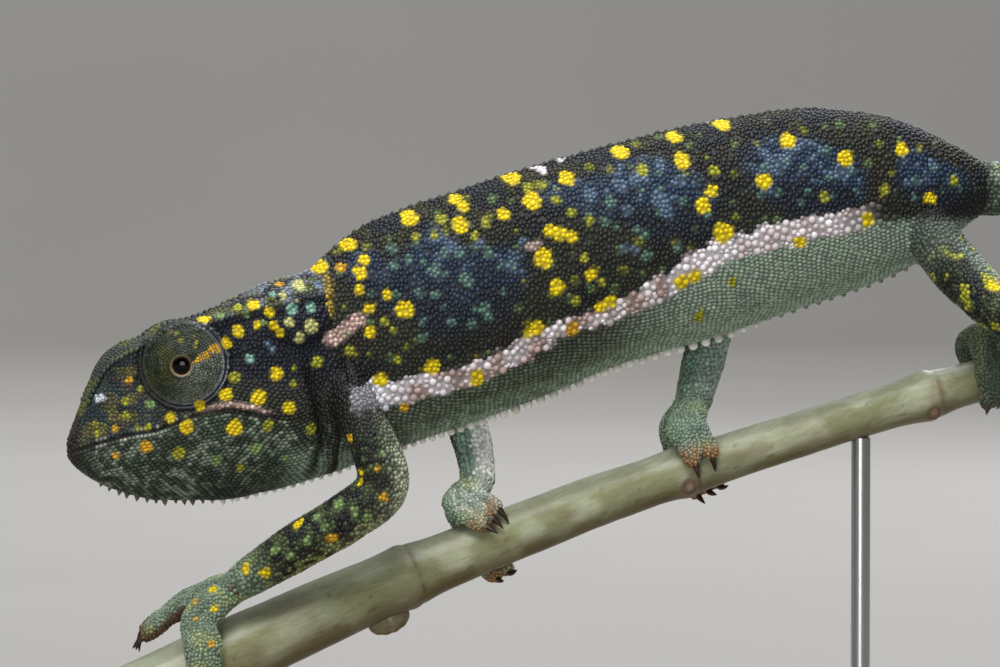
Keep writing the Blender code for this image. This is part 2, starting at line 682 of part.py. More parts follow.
def leg(name, body):
    """Upper and lower leg, parted by a thin cut at the elbow or knee.

    It gives the wrist's place and the lower leg swollen by the gap, which trims the foot.
    """
    plan = LEGS[name]
    rows = [(*p, r) for p, r in (*plan["upper"], plan["joint"], *plan["lower"])]
    line = through(rows, LEG_SAMPLES)
    bend = int(np.argmin(np.linalg.norm(line[:, :3] - plan["joint"][0], axis=1)))
    whole = np.array(tube_rings(line[:, :3], line[:, 3], LEG_SIDES))
    shift = frames(line[:, :3])[0][bend] * GAP / 2
    above = np.linspace(0, bend - JOINT_ROOM, LEG_RINGS).round().astype(int)
    below = np.linspace(bend + JOINT_ROOM, LEG_SAMPLES - 1, LEG_RINGS).round().astype(int)
    thigh = loft(f"leg_{name}_upper", [*whole[above], whole[bend] - shift], "skin")
    loft(f"leg_{name}_lower", [whole[bend] + shift, *whole[below]], "skin")
    combine(thigh, body, "DIFFERENCE")
    end = line[-1, :3]
    heading = (end - line[-6, :3]) / np.linalg.norm(end - line[-6, :3])
    shin = np.vstack([line[below, :3], end + heading * GAP])
    thickness = np.append(line[below, 3], line[-1, 3]) + GAP
    return end, loft(f"grown_{name}", tube_rings(shin, thickness, LEG_SIDES))


# ---- feet


def toe_radius(share):
    return TOE_ROOT_RADIUS + (TOE_TIP_RADIUS - TOE_ROOT_RADIUS) * share


def bundle_line(plan, wrist):
    """The middle of a bundle of toes from wrist to tip, and the way its toes lie side by side."""
    if "line" in plan:
        return through([wrist, *plan["line"]], TOE_SAMPLES), np.tile((0.0, 1.0, 0.0), (TOE_SAMPLES, 1))
    along, _ = perch_directions(plan["at"])
    points = [wrist]
    for share in np.linspace(0, 1, 5):
        x = plan["at"] + plan["drift"] * along[0] * share
        degrees = plan["turn"][0] + (plan["turn"][1] - plan["turn"][0]) * share
        lift = PALM_LIFT * (1 - share) ** 3
        points.append(round_perch(x, degrees, perch_radius(x) + TOE_CLEARANCE + lift + toe_radius(share)))
    return through(points, TOE_SAMPLES), np.tile(along, (TOE_SAMPLES, 1))


def bundle_section(toes, radius, spacing):
    """The outline of a few round toes side by side, as one closed line round its middle."""
    offsets = (np.arange(2 * toes - 1) / 2 - (toes - 1) / 2) * spacing
    radii = radius * np.where(np.arange(2 * toes - 1) % 2, WEB_SHARE, 1.0)
    outline = []
    for angle in np.linspace(0, 2 * math.pi, BUNDLE_SIDES, endpoint=False):
        inside = radii**2 - (offsets * math.sin(angle)) ** 2
        reach = [o * math.cos(angle) + math.sqrt(i) for o, i in zip(offsets, inside) if i > 0]
        outline.append((max(reach) * math.cos(angle), max(reach) * math.sin(angle)))
    return outline


def bundle(name, plan, line, side):
    """Toes bound together in one fleshy piece with a blunt, rounded end."""
    shares = np.append(np.linspace(0, 0.92, BUNDLE_RINGS - 1), 1.0)
    tangents, _, _ = frames(line)
    rings = []
    for share in shares:
        i = round(share * (len(line) - 1))
        across = square_to(side[i], tangents[i])
        outward = np.cross(tangents[i], across)
        radius = toe_radius(share) * (TOE_END_SHARE if share == 1.0 else 1.0)
        spacing = plan["spread"] * (0.35 + 0.65 * ease(share * 1.6))
        outline = bundle_section(plan["toes"], radius, spacing)
        rings.append([line[i] + u * across + v * outward for u, v in outline])
    return loft(name, rings, "skin")


def claw(name, root, tangent, inward):
    """A small hooked cone just off the end of a toe, bent towards what the toe holds."""
    shares = np.linspace(0, 1, CLAW_RINGS + 1)
    path = np.array([root + CLAW_LENGTH * (s * tangent + CLAW_BEND * s * s * inward) for s in shares])
    radii = CLAW_RADIUS * (1 - CLAW_TAPER * shares[:-1])
    loft(name, tube_rings(path[:-1], radii, CLAW_SIDES), "claw", tip=path[-1])


def half_space(name, point, normal):
    """A large box on the side of a plane that the normal points to."""
    bm = bmesh.new()
    bmesh.ops.create_cube(bm, size=CUTTER_SIZE * MM)
    turn = Vector((0, 0, 1)).rotation_difference(Vector(normal)).to_matrix().to_4x4()
    bm.transform(Matrix.Translation(Vector(place(point + normal * CUTTER_SIZE / 2))) @ turn)
    return add(name, mesh_from(name, bm), None)


def foot(leg_name, wrist, grown_shin):
    """Both bundles of a foot, parted from each other and from the leg by thin cuts."""
    plans = {name: plan for name, plan in FEET.items() if plan["leg"] == leg_name}
    lines = {name: bundle_line(plan, wrist) for name, plan in plans.items()}
    first, second = plans
    halfway = len(lines[first][0]) // 2
    apart = lines[first][0][halfway] - lines[second][0][halfway]
    apart /= np.linalg.norm(apart)
    for name, direction in ((first, apart), (second, -apart)):
        plan = plans[name]
        line, side = lines[name]
        piece = bundle(name, plan, line, side)
        combine(piece, grown_shin, "DIFFERENCE", "MANIFOLD")
        own_side = half_space(f"{name}_side", wrist + direction * GAP / 2, direction)
        combine(piece, own_side, "INTERSECT", "MANIFOLD")
        tangent = frames(line)[0][-1]
        inward = np.array((0.2, 0.0, -1.0)) if "line" in plan else perch_middle(line[-1][0]) - line[-1]
        inward = square_to(inward, tangent)
        across = square_to(side[-1], tangent)
        for i in range(plan["toes"]):
            offset = (i - (plan["toes"] - 1) / 2) * plan["spread"] * CLAW_SPREAD
            root = line[-1] + tangent * CLAW_CLEARANCE + offset * across - inward * CLAW_RISE
            claw(f"{name.replace('foot', 'claw')}_{i + 1}", root, tangent, inward)


# ---- stand


def stand():
    bm = bmesh.new()
    bmesh.ops.create_cube(bm, size=1)
    bmesh.ops.scale(bm, vec=(BASE_LENGTH * MM, BASE_WIDTH * MM, BASE_HEIGHT * MM), verts=bm.verts)
    bm.transform(Matrix.Translation((0, 0, BASE_HEIGHT * MM / 2)))
    base = add("stand_base", mesh_from("stand_base", bm), "walnut")
    bevel = base.modifiers.new("rounded_edges", "BEVEL")
    bevel.width = BASE_ROUNDING * MM
    bevel.segments = 2
    room = perch_tube("room_for_perch", GAP, np.linspace(*PERCH_ENDS, PERCH_RINGS), None)
    for name, x in ROD_PLACES.items():
        bottom, top = BASE_HEIGHT + ROD_FOOT_DEPTH, perch_middle(x)[2]
        bm = bmesh.new()
        bmesh.ops.create_cone(
            bm,
            cap_ends=True,
            segments=14,
            radius1=ROD_RADIUS * MM,
            radius2=ROD_RADIUS * MM,
            depth=(top - bottom) * MM,
        )
        bm.transform(Matrix.Translation(Vector(place((x, 0, (top + bottom) / 2)))))
        combine(add(name, mesh_from(name, bm), "steel"), room, "DIFFERENCE")


def main():
    head()
    neck_and_trunk()
    for side in EYE_AXES:
        eye(side)
        flap(side)
    tail()
    body = grown_body()
    perch()
    for name in LEGS:
        wrist, grown_shin = leg(name, body)
        foot(name, wrist, grown_shin)
    stand()


main()
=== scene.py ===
"""The looks of a flap-necked chameleon on its twig: skin, scales, eyes, claws, bark and stand.

Sizes and places are millimetres in the animal's own measure, the same named values as the solids:
+X from head to tail, +Y to the animal's right, +Z up from the floor. place() turns them into the
frame's metres. The flesh is rebuilt smooth from those values, joined into one skin, and carved with
folds and lids. Scales are then set on it one by one. The same two functions, ground() and add_spots(),
colour the skin and the scales.
"""

import functools
import math

import bmesh
import bpy
import numpy as np
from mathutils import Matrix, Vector
from mathutils.bvhtree import BVHTree
from mathutils.kdtree import KDTree


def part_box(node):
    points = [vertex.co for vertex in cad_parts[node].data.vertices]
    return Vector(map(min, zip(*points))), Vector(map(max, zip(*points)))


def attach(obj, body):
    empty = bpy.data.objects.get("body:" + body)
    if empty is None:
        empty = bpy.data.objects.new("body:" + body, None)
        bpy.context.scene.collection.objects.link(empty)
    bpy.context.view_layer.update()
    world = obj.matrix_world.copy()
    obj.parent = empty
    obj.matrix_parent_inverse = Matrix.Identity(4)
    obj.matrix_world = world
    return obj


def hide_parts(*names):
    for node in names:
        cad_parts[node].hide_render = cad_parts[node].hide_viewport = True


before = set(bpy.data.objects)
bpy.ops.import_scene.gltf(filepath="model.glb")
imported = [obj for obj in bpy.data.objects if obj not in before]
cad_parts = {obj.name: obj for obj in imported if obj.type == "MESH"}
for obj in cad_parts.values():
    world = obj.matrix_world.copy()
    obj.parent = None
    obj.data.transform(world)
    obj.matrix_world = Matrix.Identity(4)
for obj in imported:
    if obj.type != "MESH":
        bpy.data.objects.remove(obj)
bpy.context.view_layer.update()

MM = 0.001
SEED = 7
BASE_MIDDLE_X = 20.0  # the base's middle in the animal's own measure
COAT = 0.28  # how far the skin lies under the tops of the scales

# ---- perch
PERCH_ENDS = (-91, 93)
PERCH_LINE = (
    (-91, 25.4), (-60, 38.9), (-42, 46.7), (-21.7, 55.3), (4.8, 65.5), (18.2, 70.3),
    (33, 74.9), (49.8, 79.9), (68, 85.1), (93, 91.8),
)
PERCH_THICKNESS = (
    (-91, 5.7), (-42, 5.6), (-30, 5.4), (-21, 5), (-8, 4.5), (4.8, 4.3), (18, 4.05),
    (33, 3.8), (93, 3.5),
)
# Swellings of the twig where leaves grew: place and height
PERCH_NODES = {-15.5: 0.4, 30.0: 0.4, 71.0: 0.45}
PERCH_NODE_LENGTH = 3.0
BUD_PLACE, BUD_TURN, BUD_RADIUS, BUD_STRETCH = -20, 172, 2.2, 1.6
BUD_LIFT = 0.5
TWIG_SLOPE = math.radians(20)  # it climbs towards the tail

# ---- head, neck and trunk
SNOUT, HEAD_REAR, RUMP_END = -69.7, -30, 80.0
BACK_LINE = (
    (-69.7, 78.3), (-69, 81.6), (-68.1, 84.4), (-66, 90), (-64, 93.8), (-61.3, 95.8),
    (-57.6, 96.8), (-53.7, 98.9), (-48.6, 100.2), (-42.5, 103), (-37.4, 105.2), (-31.8, 106.6),
    (-28.1, 109.9), (-21.6, 114.5), (-8.6, 119.2), (11.1, 125.2), (35.9, 131), (51, 133),
    (63, 131.9), (73.2, 128.2), (80, 124.6),
)
BELLY_LINE = (
    (-69.7, 77.7), (-68.6, 76.3), (-65.9, 74), (-61.1, 71.9), (-54.6, 70.5), (-46.4, 70.4),
    (-37.3, 71.9), (-28.3, 74.2), (-16.6, 78.3), (6.2, 86), (19.9, 91.4), (36, 95.8),
    (51.2, 100.7), (62, 104.2), (70.3, 108), (76, 112.2), (80, 115.2),
)
FLANK_WIDTH = (
    (-31, 7.8), (-24, 7.7), (-14, 8.8), (5, 10.2), (30, 10.8), (48, 10.2),
    (62, 8.6), (72, 6.2), (80, 4.3),
)
JAW_LEVEL = (
    (-69.7, 78), (-66, 79.6), (-60, 81.3), (-52.7, 83.2), (-44, 84.8), (-30, 86.5),
)
JAW_WIDTH = (
    (-69.7, 0.5), (-69, 2.3), (-67.5, 3.6), (-64, 5.2), (-60, 6.6), (-50, 8.3),
    (-42, 9.2), (-36, 9.3), (-30, 8.5),
)
CHEEK_LEVEL = (
    (-69.7, 78.1), (-68, 81.2), (-66, 84.6), (-60, 89.2), (-52, 92), (-30, 96.5),
)
CHEEK_WIDTH = (
    (-69.7, 0.45), (-69, 2.1), (-67.5, 3.3), (-64, 4.6), (-60, 5.4), (-52, 6.5),
    (-46, 7.9), (-40, 8.8), (-30, 8.4),
)
CREST_LEVEL = (
    (-69.7, 78.2), (-69, 80.6), (-68, 83), (-66, 87.8), (-64, 91.6), (-60, 94.4),
    (-54, 97), (-48, 98.8), (-42, 100.6), (-30, 103.6),
)
CREST_WIDTH = (
    (-69.7, 0.4), (-69, 1.7), (-67.5, 2.8), (-64, 3.9), (-60, 4.7), (-55, 5.9),
    (-48, 6.9), (-41, 7.2), (-35, 6.5), (-30, 5.4),
)
NECK_BLEND = (-35, -24)
TRUNK_SHAPE = np.array((
    (0, 0), (0.30, 0.02), (0.74, 0.14), (0.98, 0.36), (1, 0.56), (0.80, 0.80), (0.42, 0.945),
    (0.13, 0.985), (0, 1),
))
MOUTH_LINE = (
    (-73, 77.4), (-70.2, 78.1), (-65.6, 79.9), (-60.4, 81.4), (-56.3, 82.1), (-52.7, 83.5),
    (-48.9, 84.9), (-45.1, 85.6), (-40.7, 84.8), (-37.3, 83.8),
)
MOUTH_END = 0.985  # share of the mouth's line where the lips end
LIPS_MEET = -68.7  # in front of this the scales close over the mouth

# ---- eyes
SIDES = {"left": -1, "right": 1.0}
EYE_PLACE = (-51.5, 4.8, 92.6)
EYE_AXES = {"left": (-0.25, -0.96, -0.05), "right": (-0.12, 0.98, -0.12)}
TURRET_RADIUS, TURRET_TIP = 6.65, 6.5
TURRET_FLAT = 2.6  # nearer than this to the axis, the tip is flatter than a ball
TURRET_REACH, TURRET_TOP = 7, 9.0  # what counts as a turret: distance from its axis, and height
PUPIL_RADIUS = 1.42
LID_OPENING = 1.5
LID_RIM = 0.3  # how far the lid's rim rises round the opening
LID_DEPTH = 1.2
TURRET_RING_HEIGHT = 2.4  # of the ring folds round the turret, over its centre
LID_RINGS, LID_GROOVE = (6.28, 6.85), 6.56  # radii of the two ring folds, and of the groove between

# ---- flaps behind the casque
FLAP_MIDDLE, FLAP_REACH = (-34, 100.8), (5.4, 5.2)
FLAP_THICKNESS, FLAP_EDGE, FLAP_LIFT = 1.1, 0.5, 0.4

# ---- tail
TAIL_START, TAIL_HEADING, TAIL_LENGTH = (80.3, 119.8), -4, 140.0
TAIL_DROOP, TAIL_DROOP_LENGTH = 26, 50.0
TAIL_COIL, TAIL_COIL_GROWTH = 560, 2.6
TAIL_ROOT_HEIGHT, TAIL_ROOT_WIDTH, TAIL_ROOT_LENGTH = 4.6, 4.1, 0.09
TAIL_RADIUS, TAIL_TIP_RADIUS, TAIL_FLATNESS = 3.5, 0.6, 0.9
TAIL_RINGS, TAIL_SIDES = 260, 28

# ---- legs: (x, y, z) down the middle of each, and the radius there
LEGS = {
    "front_left": (
        (-26.6, -3, 92.5, 3.2), (-25.6, -8, 86.5, 3.7), (-22.6, -12.4, 79, 4),
        (-21.6, -13, 73, 4.2), (-27.2, -12, 68.3, 4.15), (-35, -8.8, 63.3, 3.95),
        (-42.6, -5, 58, 3.2),
    ),
    "front_right": (
        (-25.5, 3, 92, 3.2), (-19.5, 9.8, 95, 3.8), (-12.6, 14.6, 95.8, 3.9),
        (-6.9, 16.2, 92.2, 4), (-4.2, 13.4, 85.6, 3.8), (-2.9, 7.6, 78.5, 3.3),
        (-3, 2.4, 72.4, 3),
    ),
    "hind_left": (
        (68.5, -2, 117, 3.6), (71.6, -8.7, 109, 4.5), (76, -16.6, 102.2, 4.2),
        (81, -23.4, 97.2, 3.9), (83.4, -18.8, 91.2, 3.7), (83.2, -10.8, 93, 3.3),
        (82, -4.6, 96.8, 2.9),
    ),
    "hind_right": (
        (69, 2, 117, 3.6), (60, 10.5, 114.5, 4.4), (49.5, 15.5, 110.6, 4.1),
        (42.6, 17.2, 105.6, 4), (38.6, 13, 98.5, 3.9), (35.3, 7.4, 91, 3.6),
        (32.6, 2.6, 85.4, 3.2),
    ),
}

# ---- feet: where each bundle of toes meets the perch, the angles it goes round it and its drift
FEET = {
    "front_left_outer": {"toes": 2, "spread": 2.7, "at": -46.3, "turn": (-34, -136), "drift": -5.2},
    "front_left_inner": {
        "toes": 3, "spread": 2.2,
        "line": ((-46.6, -1.6, 56.4), (-50.8, 1.6, 54), (-54.6, 3.2, 51.1), (-57.4, 3.8, 48.6)),
    },
    "front_right_outer": {"toes": 2, "spread": 2.6, "at": -3, "turn": (34, 166), "drift": 2.0},
    "front_right_inner": {"toes": 3, "spread": 2, "at": -3.4, "turn": (-8, -50), "drift": 3.0},
    "hind_left_outer": {"toes": 3, "spread": 2.2, "at": 81.8, "turn": (-32, -142), "drift": -0.6},
    "hind_left_inner": {"toes": 2, "spread": 2.6, "at": 81.8, "turn": (32, 140), "drift": 1.0},
    "hind_right_outer": {"toes": 3, "spread": 2.2, "at": 32.6, "turn": (34, 148), "drift": 1.5},
    "hind_right_inner": {"toes": 2, "spread": 3.4, "at": 32.2, "turn": (-22, -80), "drift": 0.4},
}
TOE_ROOT_RADIUS, TOE_TIP_RADIUS = 2.35, 1.5
TOE_CLEARANCE, PALM_LIFT = 0.35, 1.4
CLAW_LENGTH, CLAW_RADIUS, CLAW_BEND = 2.3, 0.5, 0.45
CLAW_FAN = 0.35  # how much more each next claw bends
CLAW_ROOT = 0.6  # how far a claw starts inside the toe
CLAW_SPREAD, CLAW_RISE = 0.9, 0.2

# ---- skin
VOXEL = 0.66
ATLAS = 200.0  # side of the square that the skin's charts are laid out on, in millimetres
PATCH = 0.003  # side of one scale's patch, as a share of that square's side
PIECE_TRIANGLES = 190000  # most that one piece of the coat may have
SCALE_HEIGHT = 0.50  # of a granule, as a share of its radius

# ---- camera
CAMERA_TURN, CAMERA_RISE = -12.0, 2.0  # degrees round the model, and above the horizon
CAMERA_DISTANCE, CAMERA_LENS = 0.8, 180.0  # metres, and millimetres on a 36 mm sensor
CAMERA_AIM = (0.0, 0.0, 96.6)


# ---- helpers: numbers


def smooth(points):
    """A smooth function through (place, value) points that doesn't overshoot them."""
    xs, ys = np.array(points, float).T
    step = np.diff(xs)
    slope = np.diff(ys) / step
    bend = np.concatenate([[slope[0]], np.zeros(len(xs) - 2), [slope[-1]]])
    for i in range(1, len(xs) - 1):
        if slope[i - 1] * slope[i] > 0:
            before, after = 2 * step[i] + step[i - 1], step[i] + 2 * step[i - 1]
            bend[i] = (before + after) / (before / slope[i - 1] + after / slope[i])

    def value(x):
        x = np.clip(x, xs[0], xs[-1])
        i = np.clip(np.searchsorted(xs, x) - 1, 0, len(step) - 1)
        t = (x - xs[i]) / step[i]
        rise = t * t * (3 - 2 * t)
        lean = step[i] * (bend[i] * t * (1 - t) ** 2 - bend[i + 1] * t * t * (1 - t))
        return ys[i] + (ys[i + 1] - ys[i]) * rise + lean

    return value


def ease(t):
    t = np.clip(t, 0.0, 1.0)
    return t * t * (3 - 2 * t)


def rise(values, start, span):
    """A smooth climb from 0 to 1 over a span of values, or a fall where the span is negative."""
    return ease((values - start) / span)


def lengths(line):
    """Distance along a line from its first point to each of its points."""
    return np.concatenate([[0], np.cumsum(np.linalg.norm(np.diff(line, axis=0), axis=1))])


def turns(count):
    """Angles evenly round a circle."""
    return np.linspace(0, 2 * math.pi, count, endpoint=False)


def through(points, count):
    """Points evenly along a smooth line through a few rows of numbers."""
    rows = np.array(points, float)
    padded = np.vstack([2 * rows[0] - rows[1], rows, 2 * rows[-1] - rows[-2]])
    t = np.linspace(0, 1, 16, endpoint=False)[:, None]
    pieces = []
    for a, b, c, d in zip(padded, padded[1:], padded[2:], padded[3:]):
        bend, twist = 2 * a - 5 * b + 4 * c - d, 3 * b - a - 3 * c + d
        pieces.append(b + 0.5 * ((c - a) * t + bend * t**2 + twist * t**3))
    fine = np.vstack(pieces + [rows[-1:]])
    length = lengths(fine)
    even = np.linspace(0, length[-1], count)
    return np.stack([np.interp(even, length, column) for column in fine.T], axis=1)


def unit(rows):
    return rows / np.maximum(np.linalg.norm(rows, axis=-1, keepdims=True), 1e-9)


def frames(line):
    """Unit tangents and two unit cross directions along a line, without twist."""
    along = unit(np.gradient(line, axis=0))
    side = np.cross(along[0], (0, 0, 1.0))
    if np.linalg.norm(side) < 0.2:
        side = np.cross(along[0], (0, 1.0, 0))
    sides = []
    for tangent in along:
        side = unit(side - tangent * np.dot(side, tangent))
        sides.append(side)
    sides = np.array(sides)
    return along, sides, np.cross(sides, along)


def clouds(points, size, seed=0):
    """Smooth noise from 0 to 1, with lumps about this many millimetres across."""
    grid = np.random.default_rng(SEED + seed).random((24, 24, 24))
    spot = points / size + 400.0
    cell = np.floor(spot).astype(int)
    t = spot - cell
    t = t * t * (3 - 2 * t)
    total = np.zeros(len(points))
    for corner in np.ndindex(2, 2, 2):
        weight = np.prod(np.where(np.array(corner) == 1, t, 1 - t), axis=1)
        i, j, k = ((cell + corner) % 24).T
        total += weight * grid[i, j, k]
    return total


def noises(points, *kinds):
    """Several kinds of smooth noise, each given by its size and seed."""
    return [clouds(points, size, seed) for size, seed in kinds]


def place(points):
    """The animal's millimetres as the frame's metres."""
    return (np.asarray(points, float) - (BASE_MIDDLE_X, 0, 0)) * MM


def own(points):
    """The frame's metres as the animal's millimetres."""
    return np.asarray(points, float) / MM + (BASE_MIDDLE_X, 0, 0)


# ---- helpers: meshes


def tree_of(points):
    """Points sorted so that the nearest to a place is quick to find."""
    tree = KDTree(len(points))
    for i, point in enumerate(points):
        tree.insert(point, i)
    tree.balance()
    return tree


def put(name, data):
    """A new object in the scene."""
    piece = bpy.data.objects.new(name, data)
    bpy.context.scene.collection.objects.link(piece)
    return piece


def mesh_object(name, points, faces):
    mesh = bpy.data.meshes.new(name)
    mesh.from_pydata(place(points).tolist(), [], faces)
    return put(name, mesh)


def skin_over(rings, closed=True):
    """Faces between rings of equally many points, with flat ends."""
    count, sides = rings.shape[:2]
    faces = []
    for i in range(count - 1):
        for j in range(sides):
            k = (j + 1) % sides
            faces.append((i * sides + j, i * sides + k, (i + 1) * sides + k, (i + 1) * sides + j))
    if closed:
        faces.append(tuple(reversed(range(sides))))
        faces.append(tuple(range((count - 1) * sides, count * sides)))
    return faces


def face_out(piece):
    bm = bmesh.new()
    bm.from_mesh(piece.data)
    bmesh.ops.recalc_face_normals(bm, faces=bm.faces)
    bm.to_mesh(piece.data)
    bm.free()
    return piece


def evaluated_mesh(piece):
    bpy.context.view_layer.update()
    graph = bpy.context.evaluated_depsgraph_get()
    return bpy.data.meshes.new_from_object(piece.evaluated_get(graph))


def read_points(mesh, key):
    """The places or the normals of a mesh's points, as they are stored."""
    flat = np.empty(len(mesh.vertices) * 3, np.float32)
    mesh.vertices.foreach_get(key, flat)
    return flat.reshape(-1, 3)


def points_of(mesh):
    return own(read_points(mesh, "co"))


def normals_of(mesh):
    return read_points(mesh, "normal").astype(float)


def set_points(mesh, points):
    mesh.vertices.foreach_set("co", place(points).astype(np.float32).ravel())
    mesh.update()


def paint(mesh, colours):
    """Linear colours on a mesh's points."""
    layer = mesh.color_attributes.new("pigment", "FLOAT_COLOR", "POINT")
    rows = np.concatenate([colours, np.ones((len(colours), 1))], axis=1)
    layer.data.foreach_set("color", rows.astype(np.float32).ravel())


def solid(name, points, faces, finish, tints=None):
    """A closed object of one material, coloured point by point where tints are given."""
    piece = face_out(mesh_object(name, points, faces))
    if tints is not None:
        paint(piece.data, np.array(tints))
    piece.data.materials.append(finish)
    piece.data.shade_smooth()
    return piece


def keep(piece, nodes=()):
    """The calls that make an object a finished piece of the model."""
    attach(piece, "root")
    if nodes:
        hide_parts(*nodes)


# ---- helpers: materials


def linear(code):
    """An sRGB hex colour as linear red, green and blue."""
    rgb = np.array([int(code[i : i + 2], 16) for i in (1, 3, 5)]) / 255
    return np.where(rgb <= 0.04045, rgb / 12.92, ((rgb + 0.055) / 1.055) ** 2.4)


def palette(codes):
    """Linear colours from a row of sRGB hex values."""
    return [linear(code) for code in codes.split()]


def connect(tree, made, inputs):
    """Sets or links a node's inputs by name."""
    for name, value in inputs.items():
        if isinstance(value, bpy.types.NodeSocket):
            tree.links.new(value, made.inputs[name])
        else:
            made.inputs[name].default_value = value


def node(tree, kind, inputs=None, stops=(), **settings):
    """Adds a node with its settings, its colour stops, and its values or links by input."""
    made = tree.nodes.new(kind)
    for name, value in settings.items():
        setattr(made, name, value)
    connect(tree, made, inputs or {})
    if stops:
        elements = made.color_ramp.elements
        while len(elements) < len(stops):
            elements.new(0.5)
        for element, (position, code) in zip(elements, stops):
            element.position = position
            element.color = (*linear(code), 1)
    return made


# ---- the flesh, part by part

back, belly, flank = map(smooth, (BACK_LINE, BELLY_LINE, FLANK_WIDTH))
jaw_level, jaw_width = map(smooth, (JAW_LEVEL, JAW_WIDTH))
cheek_level, cheek_width = map(smooth, (CHEEK_LEVEL, CHEEK_WIDTH))
crest_level, crest_width = map(smooth, (CREST_LEVEL, CREST_WIDTH))
perch_height, perch_thickness = map(smooth, (PERCH_LINE, PERCH_THICKNESS))
HALF_RING = 30


def half_section(x, count, grow=0.0):
    """(half-width, height) pairs from the belly keel to the back keel at a place along the body."""
    low, high = belly(x), back(x)
    trunk = np.stack([TRUNK_SHAPE[:, 0] * flank(x), low + TRUNK_SHAPE[:, 1] * (high - low)], axis=1)
    jaw, cheek, crest = jaw_width(x), cheek_width(x), crest_width(x)
    jaw_at, cheek_at, crest_at = jaw_level(x), cheek_level(x), crest_level(x)
    chin, roof = jaw_at - low, high - crest_at
    head = np.array((
        (0, low), (0.38 * jaw, low + 0.05 * chin), (0.80 * jaw, low + 0.42 * chin), (jaw, jaw_at),
        (cheek, cheek_at), (crest, crest_at), (0.62 * crest, crest_at + 0.62 * roof),
        (0.16 * crest, crest_at + 0.93 * roof), (0, high),
    ))
    share = ease((x - NECK_BLEND[0]) / (NECK_BLEND[1] - NECK_BLEND[0]))
    half = through((1 - share) * head + share * trunk, count + 1)
    half[0, 0] = half[-1, 0] = 0.0
    middle = np.array((0.0, (low + high) / 2))
    out = half - middle
    half = middle + out * (1 + grow / np.linalg.norm(out, axis=1)[:, None])
    half[0, 0] = half[-1, 0] = 0.0
    return half


def dressed(material, inputs):
    """Sets or links the Principled shader's own inputs, which finishes the material."""
    tree = material.node_tree
    connect(tree, tree.nodes["Principled BSDF"], inputs)
    return material


def half_width(x, z, count=40):
    """How far the body's side lies from its middle, at a place along it and a height."""
    half = half_section(x, count)
    return float(np.interp(z, half[:, 1], half[:, 0]))


def body_rings():
    """Rings of (x, y, z) round the head, neck and trunk, inside the solids by the coat's depth."""
    snout = SNOUT + COAT + 0.45 * np.linspace(0, 4, 10) ** 1.6 / 4
    rings = []
    for x in np.concatenate([snout, np.arange(-68.6, RUMP_END, 0.8)]):
        half = half_section(x, HALF_RING, -COAT)
        right = [(x, y, z) for y, z in half]
        left = [(x, -y, z) for y, z in half[-2:0:-1]]
        rings.append(right + left)
    return np.array(rings)


def tube(line, heights, widths=None, sides=24):
    """Rings round a line, oval where the widths differ from the heights."""
    _, across, upward = frames(line)
    angles = turns(sides)
    widths = heights if widths is None else widths
    out = np.cos(angles)[None, :, None] * across[:, None, :] * widths[:, None, None]
    up = np.sin(angles)[None, :, None] * upward[:, None, :] * heights[:, None, None]
    return line[:, None, :] + out + up


def tail_rings():
    share = np.linspace(0, 1, TAIL_RINGS)
    droop = TAIL_DROOP * ease(share * TAIL_LENGTH / TAIL_DROOP_LENGTH)
    heading = np.radians(TAIL_HEADING - droop - TAIL_COIL * share**TAIL_COIL_GROWTH)
    step = TAIL_LENGTH / (len(share) - 1)
    x = TAIL_START[0] + np.concatenate([[0], np.cumsum(np.cos(heading[:-1]))]) * step
    z = TAIL_START[1] + np.concatenate([[0], np.cumsum(np.sin(heading[:-1]))]) * step
    plain = TAIL_TIP_RADIUS + (TAIL_RADIUS - TAIL_TIP_RADIUS) * (1 - share) ** 0.9
    root = 1 - ease(share / TAIL_ROOT_LENGTH)
    height = plain + (TAIL_ROOT_HEIGHT - TAIL_RADIUS) * root
    width = TAIL_FLATNESS * plain + (TAIL_ROOT_WIDTH - TAIL_FLATNESS * TAIL_RADIUS) * root
    line = np.stack([x, np.zeros(len(x)), z], axis=1)
    inset = np.minimum(COAT, 0.3 * height)
    line[0, 0] -= 3.0
    return tube(line, height - inset, width - inset, TAIL_SIDES)


def leg_rings(name):
    line = through(LEGS[name], 90)
    return tube(line[:, :3], line[:, 3] - COAT, sides=26)


def perch_middle(x):
    return np.array((x, 0.0, float(perch_height(x))))


def perch_radius(x):
    swell = sum(h * math.exp(-(((x - at) / PERCH_NODE_LENGTH) ** 2)) for at, h in PERCH_NODES.items())
    return float(perch_thickness(x)) + swell


def perch_directions(x):
    along = unit(perch_middle(x + 1.0) - perch_middle(x - 1.0))
    return along, np.array((-along[2], 0, along[0]))


def round_perch(x, degrees, distance):
    """A point beside the perch: 0 degrees is on top and 90 on the animal's right."""
    _, upward = perch_directions(x)
    angle = math.radians(degrees)
    return perch_middle(x) + distance * (math.cos(angle) * upward + math.sin(angle) * np.array((0, 1.0, 0)))


def toe_radius(share):
    return TOE_ROOT_RADIUS + (TOE_TIP_RADIUS - TOE_ROOT_RADIUS) * share


def bundle_line(name):
    """The middle of a bundle of toes from wrist to tip, and the way its toes lie side by side."""
    plan = FEET[name]
    wrist = np.array(LEGS[name.rsplit("_", 1)[0]][-1][:3])
    if "line" in plan:
        return through([wrist, *plan["line"]], 60), np.tile((0.0, 1.0, 0.0), (60, 1))
    along, _ = perch_directions(plan["at"])
    points = [wrist]
    for share in np.linspace(0, 1, 5):
        x = plan["at"] + plan["drift"] * along[0] * share
        degrees = plan["turn"][0] + (plan["turn"][1] - plan["turn"][0]) * share
        lift = PALM_LIFT * (1 - share) ** 3
        points.append(round_perch(x, degrees, perch_radius(x) + TOE_CLEARANCE + lift + toe_radius(share)))
    return through(points, 60), np.tile(along, (60, 1))


